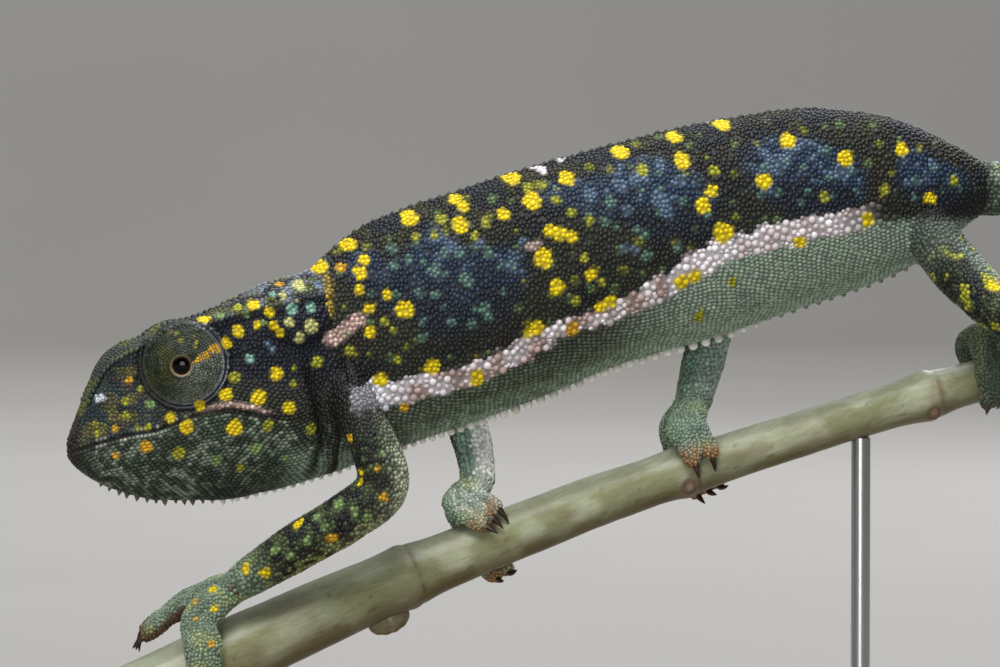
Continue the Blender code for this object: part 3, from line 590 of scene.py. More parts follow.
def toe_lines(name):
    """Each toe's own line and radius, with a rounded tip."""
    plan = FEET[name]
    line, side = bundle_line(name)
    share = np.linspace(0, 1, len(line))
    tangents, _, _ = frames(line)
    across = unit(side - tangents * np.sum(side * tangents, axis=1)[:, None])
    spacing = plan["spread"] * (0.35 + 0.65 * ease(share * 1.6))
    radius = toe_radius(share) - COAT
    radius *= 1 + 0.07 * np.cos(share * 2 * math.pi * 3.5)
    radius *= np.sqrt(np.clip(1 - ((share - 0.93) / 0.075).clip(0, 1) ** 2, 0.02, 1))
    for i in range(plan["toes"]):
        offset = (i - (plan["toes"] - 1) / 2) * spacing
        yield line + offset[:, None] * across, radius


def eye_axes(side):
    """An eye's centre, its axis, and the directions across and up from the axis."""
    centre = np.array((EYE_PLACE[0], SIDES[side] * EYE_PLACE[1], EYE_PLACE[2]))
    axis = unit(np.array(EYE_AXES[side]))
    across = unit(np.cross(axis, (0, 0, 1.0)))
    return centre, axis, across, np.cross(across, axis)


def eye_ring(side, height, radius, count):
    """A ring of points round an eye's axis."""
    centre, axis, across, upward = eye_axes(side)
    middle = centre + axis * height
    return [middle + radius * (math.cos(t) * across + math.sin(t) * upward) for t in turns(count)]


def turret_rings(side):
    """A closed dome on each eye's axis, whose tip is given its opening later."""
    rings = []
    for angle in np.radians(np.linspace(-35, 86, 22)):
        height = (TURRET_TIP - COAT) * math.sin(angle)
        rings.append(eye_ring(side, height, (TURRET_RADIUS - COAT) * math.cos(angle), 40))
    return np.array(rings)


def flap_rings(side):
    """A thin lobe over the side of the casque, thickest in its middle."""
    rings = []
    for share, outer in [(s, True) for s in (0.05, 0.3, 0.55, 0.8, 0.93, 1.0)] + [(0.9, False), (0.3, False)]:
        ring = []
        for angle in turns(36):
            x = FLAP_MIDDLE[0] + share * (FLAP_REACH[0] - COAT) * math.cos(angle)
            z = FLAP_MIDDLE[1] + share * (FLAP_REACH[1] - COAT) * math.sin(angle)
            bulge = FLAP_EDGE + FLAP_THICKNESS * math.sqrt(max(0.0, 1 - share**2)) if outer else -1.0
            ring.append((x, SIDES[side] * (half_width(x, z) + FLAP_LIFT + bulge - COAT), z))
        rings.append(ring)
    return np.array(rings)


# ---- the source points: what the skin is made from, and what each stretch of it is

CHARTS = {
    "body": (50.0, 1.0),
    "tail": (116.0, 2.0),
    "front_left": (146.0, 1.0),
    "front_right": (146.0, 51.0),
    "hind_left": (146.0, 101.0),
    "hind_right": (146.0, 151.0),
}
FOOT_ROWS = (153.0, 177.0)
FOOT_STEP = 25.0
LABELS = ["body", "tail", *LEGS, *FEET]
BODY, TAIL, FIRST_LEG, FIRST_FOOT = 0, 1, 2, 6  # places in LABELS


class Source:
    """Points on the flesh's parts, with the label, lie, outward side and chart place of each."""

    def __init__(self):
        self.parts, self.meshes = [], []

    def add(self, label, rings, chart):
        """Rings of a part. Its chart is unrolled from the middle of its first points."""
        count, sides = rings.shape[:2]
        around = np.linalg.norm(np.roll(rings, -1, axis=1) - rings, axis=2)
        run = np.cumsum(around, axis=1) - around
        run -= around.sum(axis=1, keepdims=True) / 2
        middle = rings.mean(axis=1)
        length = lengths(middle)
        lie = np.repeat(unit(np.gradient(middle, axis=0))[:, None, :], sides, axis=1)
        turn = unit(np.roll(rings, -1, axis=1) - np.roll(rings, 1, axis=1))
        along = np.repeat(length[:, None], sides, axis=1)
        charted = np.stack([chart[0] + run, chart[1] + along], axis=2)
        flat = [rows.reshape(-1, 3) for rows in (rings, lie, turn, unit(rings - middle[:, None]))]
        labels = np.full(count * sides, LABELS.index(label))
        self.parts.append([*flat, charted.reshape(-1, 2), (along / length[-1]).ravel(), labels])
        self.meshes.append(rings)

    def close(self):
        columns = [np.concatenate(rows) for rows in zip(*self.parts)]
        self.points, self.lie, self.turn, self.outward, self.chart, self.share, self.label = columns
        self.tree = tree_of(self.points)

    def nearest(self, points):
        return np.array([self.tree.find(point)[1] for point in points])


def build_source():
    source = Source()
    source.add("body", body_rings(), CHARTS["body"])
    source.add("tail", tail_rings(), CHARTS["tail"])
    for name in LEGS:
        source.add(name, leg_rings(name), CHARTS[name])
    for i, name in enumerate(FEET):
        corner = (8.0 + FOOT_STEP * (i % 5), FOOT_ROWS[i // 5])
        for j, (line, radius) in enumerate(toe_lines(name)):
            source.add(name, tube(line, radius, sides=18), (corner[0] + 7.5 * j, corner[1]))
    source.close()
    for side in SIDES:
        source.meshes += [turret_rings(side), flap_rings(side)]
    return source


# ---- the skin


def add_rings(points, faces, rings):
    """Adds rings, and the faces between them, to lists of points and faces."""
    start = len(points)
    faces += [tuple(start + i for i in face) for face in skin_over(rings)]
    points += list(rings.reshape(-1, 3))


def fleshy_mesh(source):
    """All the parts in one mesh, remeshed into a single skin and smoothed."""
    points, faces = [], []
    for rings in source.meshes:
        add_rings(points, faces, rings)
    lump = face_out(mesh_object("flesh", np.array(points), faces))
    remesh = lump.modifiers.new("one_skin", "REMESH")
    remesh.mode = "VOXEL"
    remesh.voxel_size = VOXEL * MM
    soften = lump.modifiers.new("soften", "SMOOTH")
    soften.factor = 0.5
    soften.iterations = 3
    mesh = evaluated_mesh(lump)
    bpy.data.objects.remove(lump)
    return mesh


def refine(mesh, wanted):
    """Splits the faces whose middle is wanted into four."""
    bm = bmesh.new()
    bm.from_mesh(mesh)
    middles = own(np.array([face.calc_center_median() for face in bm.faces]))
    chosen = wanted(middles)
    edges = {edge for face, take in zip(bm.faces, chosen) if take for edge in face.edges}
    bmesh.ops.subdivide_edges(bm, edges=list(edges), cuts=1, use_grid_fill=True, smooth=0.0)
    bmesh.ops.triangulate(bm, faces=[face for face in bm.faces if len(face.verts) > 4])
    bm.to_mesh(mesh)
    bm.free()


def eye_polar(points, side):
    """Distance from an eye's axis and height along it."""
    centre, axis, _, _ = eye_axes(side)
    out = points - centre
    height = out @ axis
    return np.linalg.norm(out - height[:, None] * axis, axis=1), height


def on_turrets(points):
    """Which points lie on either eye's turret."""
    found = np.zeros(len(points), bool)
    for side in SIDES:
        radius, height = eye_polar(points, side)
        found |= (radius < TURRET_REACH) & (height > 0) & (height < TURRET_TOP)
    return found


def near_line(points, line):
    """Distance in side view to a line of (x, z) points, and the share of its length there."""
    line = np.array(line, float)
    flat = points[:, [0, 2]]
    best, where = np.full(len(flat), 1e9), np.zeros(len(flat))
    length = lengths(line)
    for i, (a, b) in enumerate(zip(line, line[1:])):
        t = np.clip((flat - a) @ (b - a) / np.dot(b - a, b - a), 0, 1)
        distance = np.linalg.norm(flat - a - t[:, None] * (b - a), axis=1)
        closer = distance < best
        best[closer] = distance[closer]
        where[closer] = (length[i] + t[closer] * (length[i + 1] - length[i])) / length[-1]
    return best, where


def level_on(line, x):
    """Height of a line of (x, z) points at places along the body."""
    return np.interp(x, *np.array(line).T)


def bump(distance, width):
    return np.exp(-((distance / width) ** 2))


# Folds in the skin, and its coloured places: lines of (x, z)
RICTUS_FOLD = ((-51, 84.6), (-49.2, 85.1), (-46.6, 85.9), (-44.2, 86.1), (-41.2, 85.5), (-37.6, 84.2))
JAW_FOLD = ((-33.2, 92.5), (-31.6, 88), (-30.6, 84), (-29.8, 79.5), (-31.5, 75))
NECK_FOLDS = (
    ((-27.6, 96.5), (-26.4, 91), (-26.2, 85), (-27.6, 78)),
    ((-29.2, 82), (-28.4, 79), (-29, 76)),
)
SNOUT_BAND = ((-65.4, 81.8), (-60.6, 85.6), (-59.4, 91))
TEMPLE_LINE = ((-45, 93.8), (-41, 95.2), (-37, 97), (-33, 99.5))
BLUSH_LINE = ((-29, 96.2), (-26.4, 97.6), (-24.4, 99.2))
NOSTRIL = (-65.2, 87.1)


def in_mouth(points, width):
    """Which points lie in the slit between the lips, which close in front of it."""
    distance, share = near_line(points, MOUTH_LINE)
    x = points[:, 0]
    return (distance < width) & (share < MOUTH_END) & (x < HEAD_REAR) & (x > LIPS_MEET)


def turret_profile(radius):
    """Height of the turret's skin over its centre, with a rim round the small opening."""
    reach, tip = TURRET_RADIUS - COAT, TURRET_TIP - COAT
    dome = tip * np.sqrt(np.clip(1 - (radius / reach) ** 2, 0, 1))
    flat = tip * math.sqrt(1 - (TURRET_FLAT / reach) ** 2)
    dome = np.where(radius < TURRET_FLAT, flat + (dome - flat) * 0.62, dome)
    rim = LID_RIM * bump(radius - LID_OPENING - 0.28, 0.3)
    return dome + rim - LID_DEPTH * (1 - ease((radius - LID_OPENING + 0.16) / 0.2))


def carve(mesh):
    """Gives the head its mouth, folds, nostrils, crests and eyelids, and the body its creases."""
    points = points_of(mesh)
    normals = normals_of(mesh)
    x, y, z = points.T
    side_face = ease((np.abs(y) - 1.0) / 1.5)
    head = x < -28.0
    lift = 0.16 * (clouds(points, 2.4, 1) - 0.5) + 0.10 * (clouds(points, 1.1, 2) - 0.5)
    mouth, share = near_line(points, MOUTH_LINE)
    lips = np.where(head & (share < MOUTH_END), rise(x, -69.3, 1.6), 0.0)
    lift -= lips * 0.42 * bump(mouth, 0.24)
    lift += lips * 0.14 * bump(mouth - 0.7, 0.35)
    fold, share = near_line(points, RICTUS_FOLD)
    ragged = 0.25 + 0.4 * clouds(points, 0.7, 3)
    lift += side_face * head * ragged * bump(fold, 0.34) * ease(share * 6) * ease((1 - share) * 4)
    crease, share = near_line(points, JAW_FOLD)
    held = side_face * head * ease(share * 5) * ease((1 - share) * 5)
    lift -= held * 1.0 * bump(crease, 0.9)
    lift += held * 0.4 * bump(crease - 1.6, 0.9) * (x < -31)
    on_body = np.abs(y) < 10.5
    for line in NECK_FOLDS:
        crease, share = near_line(points, line)
        lift -= side_face * on_body * 0.5 * bump(crease, 0.55) * ease(share * 4) * ease((1 - share) * 4)
    crest = np.abs(z - crest_level(x) + 0.3)
    brow = head & (np.abs(y) > 1.0)
    lift += brow * 0.30 * bump(crest, 0.55)
    groove = np.abs(z - crest_level(x) + 1.6)
    lift -= brow * (x > -46) * 0.22 * bump(groove, 0.6)
    nostril = np.hypot(x - NOSTRIL[0], z - NOSTRIL[1])
    lift += side_face * head * (0.20 * bump(nostril - 0.9, 0.4) - 0.35 * bump(nostril, 0.42))
    for side in SIDES:
        radius, height = eye_polar(points, side)
        near = (height > 0) & (height < TURRET_TOP) & (radius < 9)
        lift += near * (0.30 * bump(radius - LID_RINGS[0], 0.16) + 0.26 * bump(radius - LID_RINGS[1], 0.17))
        lift -= near * (0.20 * bump(radius - LID_GROOVE, 0.12) + 0.35 * bump(radius - 7.35, 0.3))
    points = points + normals * lift[:, None]
    for side in SIDES:
        radius, height = eye_polar(points, side)
        moved = (radius < 5.7) & (height > 2.2) & (height < 8.5)
        weight = moved * ease((5.7 - radius) / 0.6)
        points += (weight * (turret_profile(radius) - height))[:, None] * eye_axes(side)[1]
    set_points(mesh, points)


def head_part(middles):
    return (middles[:, 0] < -33.0) & (middles[:, 2] > 68.0)


def lid_part(middles):
    found = np.zeros(len(middles), bool)
    for side in SIDES:
        radius, height = eye_polar(middles, side)
        near = (radius < 2.5) | ((radius > 5.9) & (radius < 7.4))
        found |= near & (height > 0.3) & (height < TURRET_TOP)
    return found


def build_skin(source):
    mesh = fleshy_mesh(source)
    refine(mesh, head_part)
    refine(mesh, lid_part)
    carve(mesh)
    mesh.name = "skin"
    mesh.shade_smooth()
    return put("skin", mesh)


# ---- markings

# The palette: the trunk, its spots, the belly and stripe, the head, the limbs, and the rest
DARK, OLIVE, BROWN, NAVY, BLUE = palette("#0f1317 #212618 #221c16 #0e1a29 #1a2e46")
SLATE, TURQUOISE, LEAF, MOSS = palette("#6a839f #84b4a2 #7b995c #7c8226")
YELLOW, LEMON, MUSTARD, SAGE = palette("#ebd104 #a2a428 #d8a820 #c9c882")
CREAM, WHITE, PINK, STRIPE_FRONT, BLUSH = palette("#cfae3c #e5dfe6 #b8a29c #e6e8f4 #c0a29a")
BELLY_DARK, BELLY, PALE = palette("#373f35 #5f705b #9bb09d")
JAW, JAW_LIGHT, TEMPLE, CHEEK = palette("#2e3c30 #93a18c #0d1322 #2d2f2d")
SNOUT_BLUE, SNOUT_MOSS, SNOUT_BROWN, SNOUT_TIP = palette("#24343a #6b6a2c #5c4a3a #2a211c")
HORN, CASQUE_BLUE_SHEEN, CASQUE_GREY, SALT = palette("#333a35 #7c8496 #8b9488 #d5e0ea")
FOLD, LIP, LID_EDGE = palette("#cfb2a8 #9a9f94 #cdb592")
TURRET_DARK, TURRET_GREY, TURRET_STREAK, TURRET_BLOT = palette("#18270f #7f8a7c #d8a414 #a9a126")
RING_LIT, RING_SHADED, PUPIL, IRIS = palette("#8a90a0 #323d34 #030303 #6a5232")
INNER, INNER_DARK, INNER_HIND = palette("#f2f6f0 #6c8e7e #94a89c")
LIMB_EDGE, LIMB_GREEN, ELBOW, THIGH = palette("#9aa468 #56653c #adb59c #77867a")
SOLE, TOE_TIP, FOOT_GREEN = palette("#5a3c2a #a07a54 #7d917c")
BEAD_WHITE, CONE_DARK, KEEL_GREY = palette("#f6f6ea #454434 #4a5248")
BARK, BARK_PALE, BARK_GREEN, BARK_BROWN = palette("#92966f #b5bb9d #858a56 #85765c")
BARK_SPECK, BARK_TOP_SHEEN, BARK_UNDER_SHADE, BUD = palette("#5c4a32 #8a9384 #625e40 #8a8468")
NODE_DARK, NODE_PALE, SCAR_RIM, SCAR = palette("#6b5238 #9a8a72 #5c4030 #b39a86")
RIND, WOOD, PITH = palette("#6d6a45 #b59f72 #6b5434")

# Spots on the side of the head and of the trunk: a tint, and (x, z, radius) for each
HEAD_SPOTS = (
    (YELLOW, (
        (-40.9, 101.7, 1), (-38.7, 100.5, 0.8), (-43.5, 97.5, 0.95), (-38.1, 98.4, 0.7),
        (-37.2, 97.3, 0.7), (-45.4, 95.6, 0.85), (-37.7, 90.9, 1.1),
        (-40.6, 87.2, 1.25), (-45.7, 87.7, 1.1), (-35.8, 85.5, 1), (-51.8, 82.6, 1.15),
        (-44.3, 82.5, 1.25), (-49.7, 86, 0.85), (-54.2, 84.2, 0.85), (-48.6, 99.5, 1.05),
        (-29.7, 107.5, 1.3), (-40.6, 98.5, 0.55),
    )),
    (LEMON, (
        (-44.3, 90.3, 1), (-52.9, 78.6, 1.05), (-39, 82.7, 0.95), (-32.1, 82.1, 1),
        (-43.3, 101.3, 0.75), (-35, 89.3, 0.6), (-35, 91.7, 0.5), (-31, 92.7, 1),
        (-61.1, 86.6, 0.6), (-58.7, 88.5, 0.5), (-65.4, 81.5, 0.45), (-65.7, 83.2, 0.45),
        (-61.1, 84.4, 0.55), (-59.3, 82.6, 0.55), (-57.7, 82.7, 0.6), (-43.3, 75.9, 0.7),
    )),
    (SAGE, (
        (-35.8, 99, 0.8), (-32.3, 98.3, 1.15), (-34.2, 96.5, 0.9), (-33.4, 104.4, 1.15),
        (-36.3, 102.8, 0.75), (-34.3, 102.2, 0.5),
    )),
    (LEAF, (
        (-57.4, 86.2, 0.75), (-47, 77.3, 0.8), (-40.9, 79.2, 0.95), (-46.2, 100.1, 0.65),
        (-42.2, 100, 0.5), (-39.5, 98.9, 0.4), (-36, 77.6, 0.7),
    )),
    (MUSTARD, (
        (-57.9, 79.5, 1), (-62.7, 82.3, 0.55), (-62.5, 78.2, 0.6), (-51.8, 82.6, 0.35),
        (-36.3, 104.6, 0.7), (-60.3, 90.1, 0.6), (-44.2, 82.4, 0.3),
    )),
    (TURQUOISE, (
        (-41.9, 93.3, 0.75), (-35.3, 101, 0.9), (-32.1, 101.1, 0.9), (-37.7, 103, 0.6),
        (-32.6, 102.9, 0.5),
    )),
    (SLATE, ((-39, 95.5, 0.5), (-38.3, 94.7, 0.5), (-30.5, 104.6, 0.7))),
)
TRUNK_SPOTS = (
    (TURQUOISE * 0.55, (
        (-18.7, 110.4, 0.9), (-16.3, 108.7, 0.8), (-18.5, 107.8, 0.7), (-12.3, 107, 1),
        (-8.3, 109.6, 0.9), (-3.8, 109.4, 0.8), (-7.3, 105.5, 1.1), (-12.3, 103.1, 0.8),
        (-4.6, 100.7, 1), (-14.2, 96.3, 0.7), (21.3, 112.6, 0.8), (21.5, 109.2, 0.9),
        (26.6, 110.5, 0.8), (15.9, 117.6, 0.7), (14.9, 114.6, 0.8), (-0.1, 107.7, 0.7),
    )),
    # Slate glints near the tops of the saddles: painted highlights.
    (SLATE * 0.8, (
        (17.8, 120.3, 1.2), (20.2, 121.2, 1), (23.9, 118.2, 1.3), (25, 116.3, 1.1),
        (18.6, 116.5, 1), (27.7, 121.2, 1), (13, 119, 1), (18.1, 110.4, 0.8),
        (19.7, 109.9, 0.7), (-9.4, 110.6, 1), (-4.9, 111.3, 0.9), (1.8, 111.5, 0.8),
    )),
    (LEMON, (
        (-10.5, 115.1, 0.9), (-14.7, 112.2, 0.7), (-12.1, 112.5, 0.7), (-3.8, 114.5, 0.9),
        (-5.7, 112.4, 0.8), (3.4, 120, 0.8), (7.4, 118.1, 0.8), (12.5, 114.8, 0.8),
        (9.8, 115.9, 0.8), (5.8, 120.5, 0.7), (30.9, 99.5, 0.9), (-20.3, 98.9, 0.7),
        (-18.7, 97.4, 0.6), (-18.2, 92.8, 0.7), (-25.9, 94.2, 0.9), (10.1, 101.9, 0.8),
        (11.4, 108.9, 0.8), (14.3, 104.9, 0.8), (21.8, 122.8, 1), (33, 122.6, 0.9),
        (35.9, 104.9, 0.8), (51, 118.4, 0.9), (61.4, 119.6, 0.9), (74, 121, 0.9),
    )),
    (YELLOW, (
        (-15.3, 115.3, 1.4), (-7.8, 118.3, 1), (-7, 116.9, 1.05), (-7.8, 114, 1.35),
        (1.5, 121.5, 1.3), (3.9, 117.9, 1.4), (9.8, 121.5, 1.3), (-0.9, 115.7, 1.05),
        (7.9, 112.7, 1.1), (6.1, 113.3, 1), (9.5, 112.1, 1), (5, 108.8, 1.55),
        (7.1, 104.2, 1.2), (12.5, 106.3, 1), (-17.1, 100.7, 1.5), (-23.8, 106.5, 1.15),
        (-22.5, 97.2, 1), (-19.8, 103, 0.85), (-23, 108.5, 0.85), (-22.5, 101, 0.85),
        (-24.1, 103.9, 0.85), (-25.1, 111, 1.2), (-12.6, 91.7, 1.25), (-20.9, 89.7, 1.15),
        (-24.9, 90.4, 0.65), (-5.4, 90, 1.35), (3.9, 97.7, 1.2), (2.5, 96.9, 0.9),
        (14.2, 101, 1), (15.9, 101.9, 1), (27.4, 105, 1.2), (29.6, 105.9, 1.15),
        (34.1, 112.7, 1.7), (30.9, 117.2, 1.3), (32.5, 119.4, 1.1), (28.2, 124.2, 1.35),
        (18.9, 125.8, 1.35), (27.9, 128.2, 1.25), (36, 130.2, 1.35), (-21.9, 84.6, 0.85),
        (41, 121, 1.3), (45.6, 127.4, 1.2), (47, 111.2, 1.1), (55, 124.6, 1.3),
        (58.4, 114.8, 1.1), (64.8, 126, 1.1), (69.6, 118, 1.1),
    )),
    (MUSTARD, ((-26.5, 107.4, 0.8), (9.8, 97.6, 1.2), (-16.9, 85.3, 0.7), (-28, 84.6, 0.8))),
    (PINK, ((3.1, 110.7, 0.9), (4.2, 111.4, 0.7))),
    (WHITE, ((5.3, 123.6, 0.9), (6.3, 122.8, 0.8), (9.6, 124.8, 0.9))),
)
# Blue saddles on the flank: (x, z, half-length, half-height)
SADDLES = (
    (-11, 104.5, 14, 8), (21.5, 117.6, 12.5, 6), (49, 121, 11, 6),
    (69, 121, 7, 4.5),
)
CREST_PATCHES = (-19, -3.5, 15.2, 33.5, 52, 68)  # dark places along the back
STRIPE = (
    (-25.5, 86.9), (-23.3, 87.4), (-20.1, 87.3), (-15.8, 88.2), (-11.3, 88.8), (-7.8, 90),
    (-4.3, 91.4), (1.8, 94.2), (6.1, 96.6), (10.3, 98.3), (14.9, 99.8), (19.4, 101.5),
    (23.7, 103.8), (28.2, 106.6), (32.5, 109.2), (36.2, 110.6), (50, 113.6), (62, 115.2),
)
# Spots on the legs: a tint, and (x, y, z, radius) for each
LEG_SPOTS = (
    (YELLOW, (
        (-34.8, -11.5, 67.6, 1), (-42.6, -8.2, 60.3, 0.85), (-39.8, -9.9, 59.6, 0.95),
        (-25.4, -14.4, 74, 0.6), (-25.2, -14.3, 75.6, 0.6), (-47.4, -7.1, 54.1, 0.7),
        (-47.5, -6, 57, 0.7), (-9.6, 12.2, 96.4, 1.1), (46, 12.6, 108.8, 1.1),
        (-14, 17.6, 93.4, 1.1), (55.4, 17.8, 112.6, 1.2), (42.8, 20.8, 104, 1.1),
        (76, -20.4, 104.4, 1.2), (73.4, -12.6, 112.4, 1.2),
    )),
    (MUSTARD, (
        (-29.9, -14.7, 65.3, 0.85), (-22.2, -16.9, 71.8, 0.8), (-23, -16.6, 76.2, 0.55),
        (-26.8, -12.8, 80.9, 0.75), (-50.2, -6.1, 55.1, 0.5), (-50.2, -6.8, 52.3, 0.55),
        (-48.2, -9.3, 48.7, 0.6),
    )),
    (LEAF, (
        (-28.8, -14.6, 70.7, 0.95), (-32.1, -13.3, 68.7, 0.8), (-31.2, -14.6, 67.2, 0.7),
        (-26.7, -16.2, 69.5, 0.75), (-24.7, -16.5, 68.4, 0.7), (-33.7, -13.5, 64.8, 0.8),
        (-38.3, -10.9, 63.5, 0.9), (-36, -12.2, 62.5, 0.8), (-44.5, -7, 55.7, 0.6),
        (-25, -15.3, 77.7, 0.5), (-22.4, -16.4, 78.6, 0.5), (-41.4, -8.8, 61.7, 0.5),
        (-5.4, 19.2, 90.4, 0.9), (48.2, 19, 108.6, 0.9), (81, -26.4, 99, 1),
    )),
)
# Yellow blots on a turret: their turn round its axis, width in degrees, and first and last radius
TURRET_BLOTS = ((76, 7, 3, 5.6), (113, 9, 3.2, 5.8))
TAIL_BANDS = 7
FAINT_GAP = 3.9  # between the faint spots that are spread over both flanks


def mix(first, second, share):
    share = np.clip(np.asarray(share), 0, 1)[:, None]
    return first * (1 - share) + second * share


def faint_spots():
    """Pale dots evenly over the flanks: blue green in the saddles, olive between them."""
    rng = np.random.default_rng(SEED + 1)
    blue, olive = [], []
    for x in np.arange(-26.0, 77.0, FAINT_GAP):
        low = float(level_on(STRIPE, x)) + 2.6
        for z in np.arange(low + rng.uniform(0, 2), float(back(x)) - 0.8, FAINT_GAP):
            spot = (x + rng.uniform(-1.3, 1.3), z + rng.uniform(-1.3, 1.3), rng.uniform(0.4, 0.85))
            reach = min(math.hypot((spot[0] - s[0]) / s[2], (spot[1] - s[1]) / s[3]) for s in SADDLES)
            (blue if reach < 0.9 else olive).append(spot)
    return (TURQUOISE * 0.55, blue), (LEAF * 0.7, olive[::2]), (LEMON * 0.7, olive[1::2])


def layers(colours, *rows):
    """Tints laid over colours one after another, each by its own share."""
    for tint, share in rows:
        colours = mix(colours, tint, share)
    return colours


@functools.lru_cache(maxsize=None)
def sideways(x, z):
    """How far out a spot lies, and how much that counts: only near the top of the animal."""
    top = crest_level(x) if x < -29 else back(x) - 4.0
    return half_width(x, z, 24), 0.38 * float(ease(z - top + 1.0))


def add_spots(colours, points, label, shade):
    """Paints the round spots, whose edges wander a little over the scales."""
    x, y, z = points.T
    colours = colours.copy()
    edge = 0.5 * (clouds(points, 0.8, 5) - 0.5)
    mottle = 0.74 + 0.42 * clouds(points, 0.7, 9)
    body = label < FIRST_LEG
    flat = np.stack([x + 0.9 * (y > 0), z - 0.6 * (y > 0)], axis=1)
    groups = (
        (faint_spots(), body & (x > -29), flat, 0.6),
        (TRUNK_SPOTS[:2], body & (x > -29), flat, 0.75),
        (TRUNK_SPOTS[2:], body & (x > -29.5), flat, 1.0),
        (HEAD_SPOTS, body & (x < -27.5), flat, 1.0),
        (LEG_SPOTS, label >= FIRST_LEG, points, 1.0),
    )
    for group, allowed, where, strength in groups:
        for tint, rows in group:
            for *middle, radius in rows:
                near = np.flatnonzero(allowed & (np.abs(where[:, 0] - middle[0]) < radius + 0.7))
                distance = np.linalg.norm(where[near] - np.array(middle), axis=1)
                if where is flat:
                    out, weight = sideways(*middle)
                    distance = np.hypot(distance, weight * (np.abs(y[near]) - out))
                share = ease((radius - distance + edge[near]) / 0.42 + 0.45) * strength
                tinted = tint * (mottle[near] * shade[near])[:, None]
                colours[near] = mix(colours[near], tinted, share)
    return colours


def stripe_breadth(points):
    x = points[:, 0]
    patch, fine = noises(points, (3.2, 13), (1.2, 14))
    ends = 0.55 * rise(x, -17, -4) + 0.3 * rise(x, 24, 8) - 0.5 * bump(x - 12, 8.0)
    return 1.75 + 0.8 * (patch - 0.5) + 1.5 * (fine - 0.5) + ends


def body_markings(points):
    """The neck and trunk: dark blotches, blue saddles with a painted highlight on their upper parts, a green
    belly, the pale stripe, and painted shade where the front legs join.
    """
    x, _, z = points.T
    low, high = belly(x), back(x)
    level = (z - low) / np.maximum(high - low, 1.0)
    lumps, fine, patch = noises(points, (6.0, 11), (1.3, 12), (3.2, 13))
    colours = layers(
        DARK,
        (OLIVE, rise(lumps, 0.35, 0.3) * 0.9),
        (BROWN, rise(patch, 0.55, 0.2) * 0.7),
        (OLIVE * 1.4, rise(fine, 0.6, 0.2) * 0.6),
        (MOSS * 0.35, rise(level, 0.82, 0.1) * rise(fine, 0.45, 0.2) * 0.5),
    )
    colours = mix(colours, colours * 0.5, rise(level, 0.70, 0.2) * 0.9)
    for at in CREST_PATCHES:
        reach = np.hypot((x - at) / 3.6, (z - back(at)) / 3.4) + 0.5 * (lumps - 0.5)
        colours = mix(colours, NAVY * 0.6, rise(reach, 1.1, -0.3) * 0.9)
    for at, height, half_length, half_height in SADDLES:
        reach = np.hypot((x - at) / half_length, (z - height) / half_height) + 0.8 * (lumps - 0.5)
        share = rise(reach, 1.1, -0.4)
        # Painted highlight: the upper part of each saddle is painted lighter blue, and flecked with slate
        # there.
        lit = ease((z - height) / half_height + 0.5 + 0.8 * (patch - 0.5)) * (0.6 + 0.4 * (at > 0))
        speckled = share * lit * rise(fine, 0.54, 0.2) * 0.85
        colours = layers(colours, (mix(NAVY, BLUE * 1.15, lit), share), (SLATE * 0.7, speckled))
    armpit_shade = np.hypot((x + 26.0) / 2.6, (z - 90.5) / 4.5)
    green = layers(
        BELLY_DARK,
        (BELLY, rise(level, 0.27, -0.2)),
        (PALE, rise(level, 0.12, -0.12) * 0.8),
        (BROWN * 2.2, rise(patch, 0.32, 0.3) * rise(level, 0.14, 0.12) * 0.65),
        (OLIVE * 1.8, rise(fine, 0.55, 0.2) * 0.4),
        (PALE, rise(x, 12, 20) * 0.7),
    )
    lower = ease((level_on(STRIPE, x) - z) / 2.0 + 0.2)
    blotch, speck = clouds(points, 2.2, 15) + 0.06 * bump(x - 15, 7.0), clouds(points, 0.75, 17)
    dull = 0.2 + 0.25 * bump(x - 12, 9.0)
    pale = layers(
        WHITE,
        (PINK, rise(blotch, 0.48, 0.16)),
        (PINK * 0.7, rise(speck, 0.42, 0.14) * dull),
        (PINK * 0.22, rise(speck, 0.60, 0.12) * dull),
        (WHITE, rise(x, 24, 6) * 0.45),
        (STRIPE_FRONT, rise(x, -18.5, -2) * 0.9),
    )
    stripe = ease((stripe_breadth(points) - near_line(points, STRIPE)[0]) / 0.6 + 0.4)
    return layers(
        colours,
        # Painted shade where the front legs join the body.
        (DARK * 0.5, rise(armpit_shade, 1.2, -0.4) * 0.8),
        (green, lower * (x > -27)),
        (pale, stripe * (1 - rise(x, 52, 10)) * (x > -26.5)),
    )


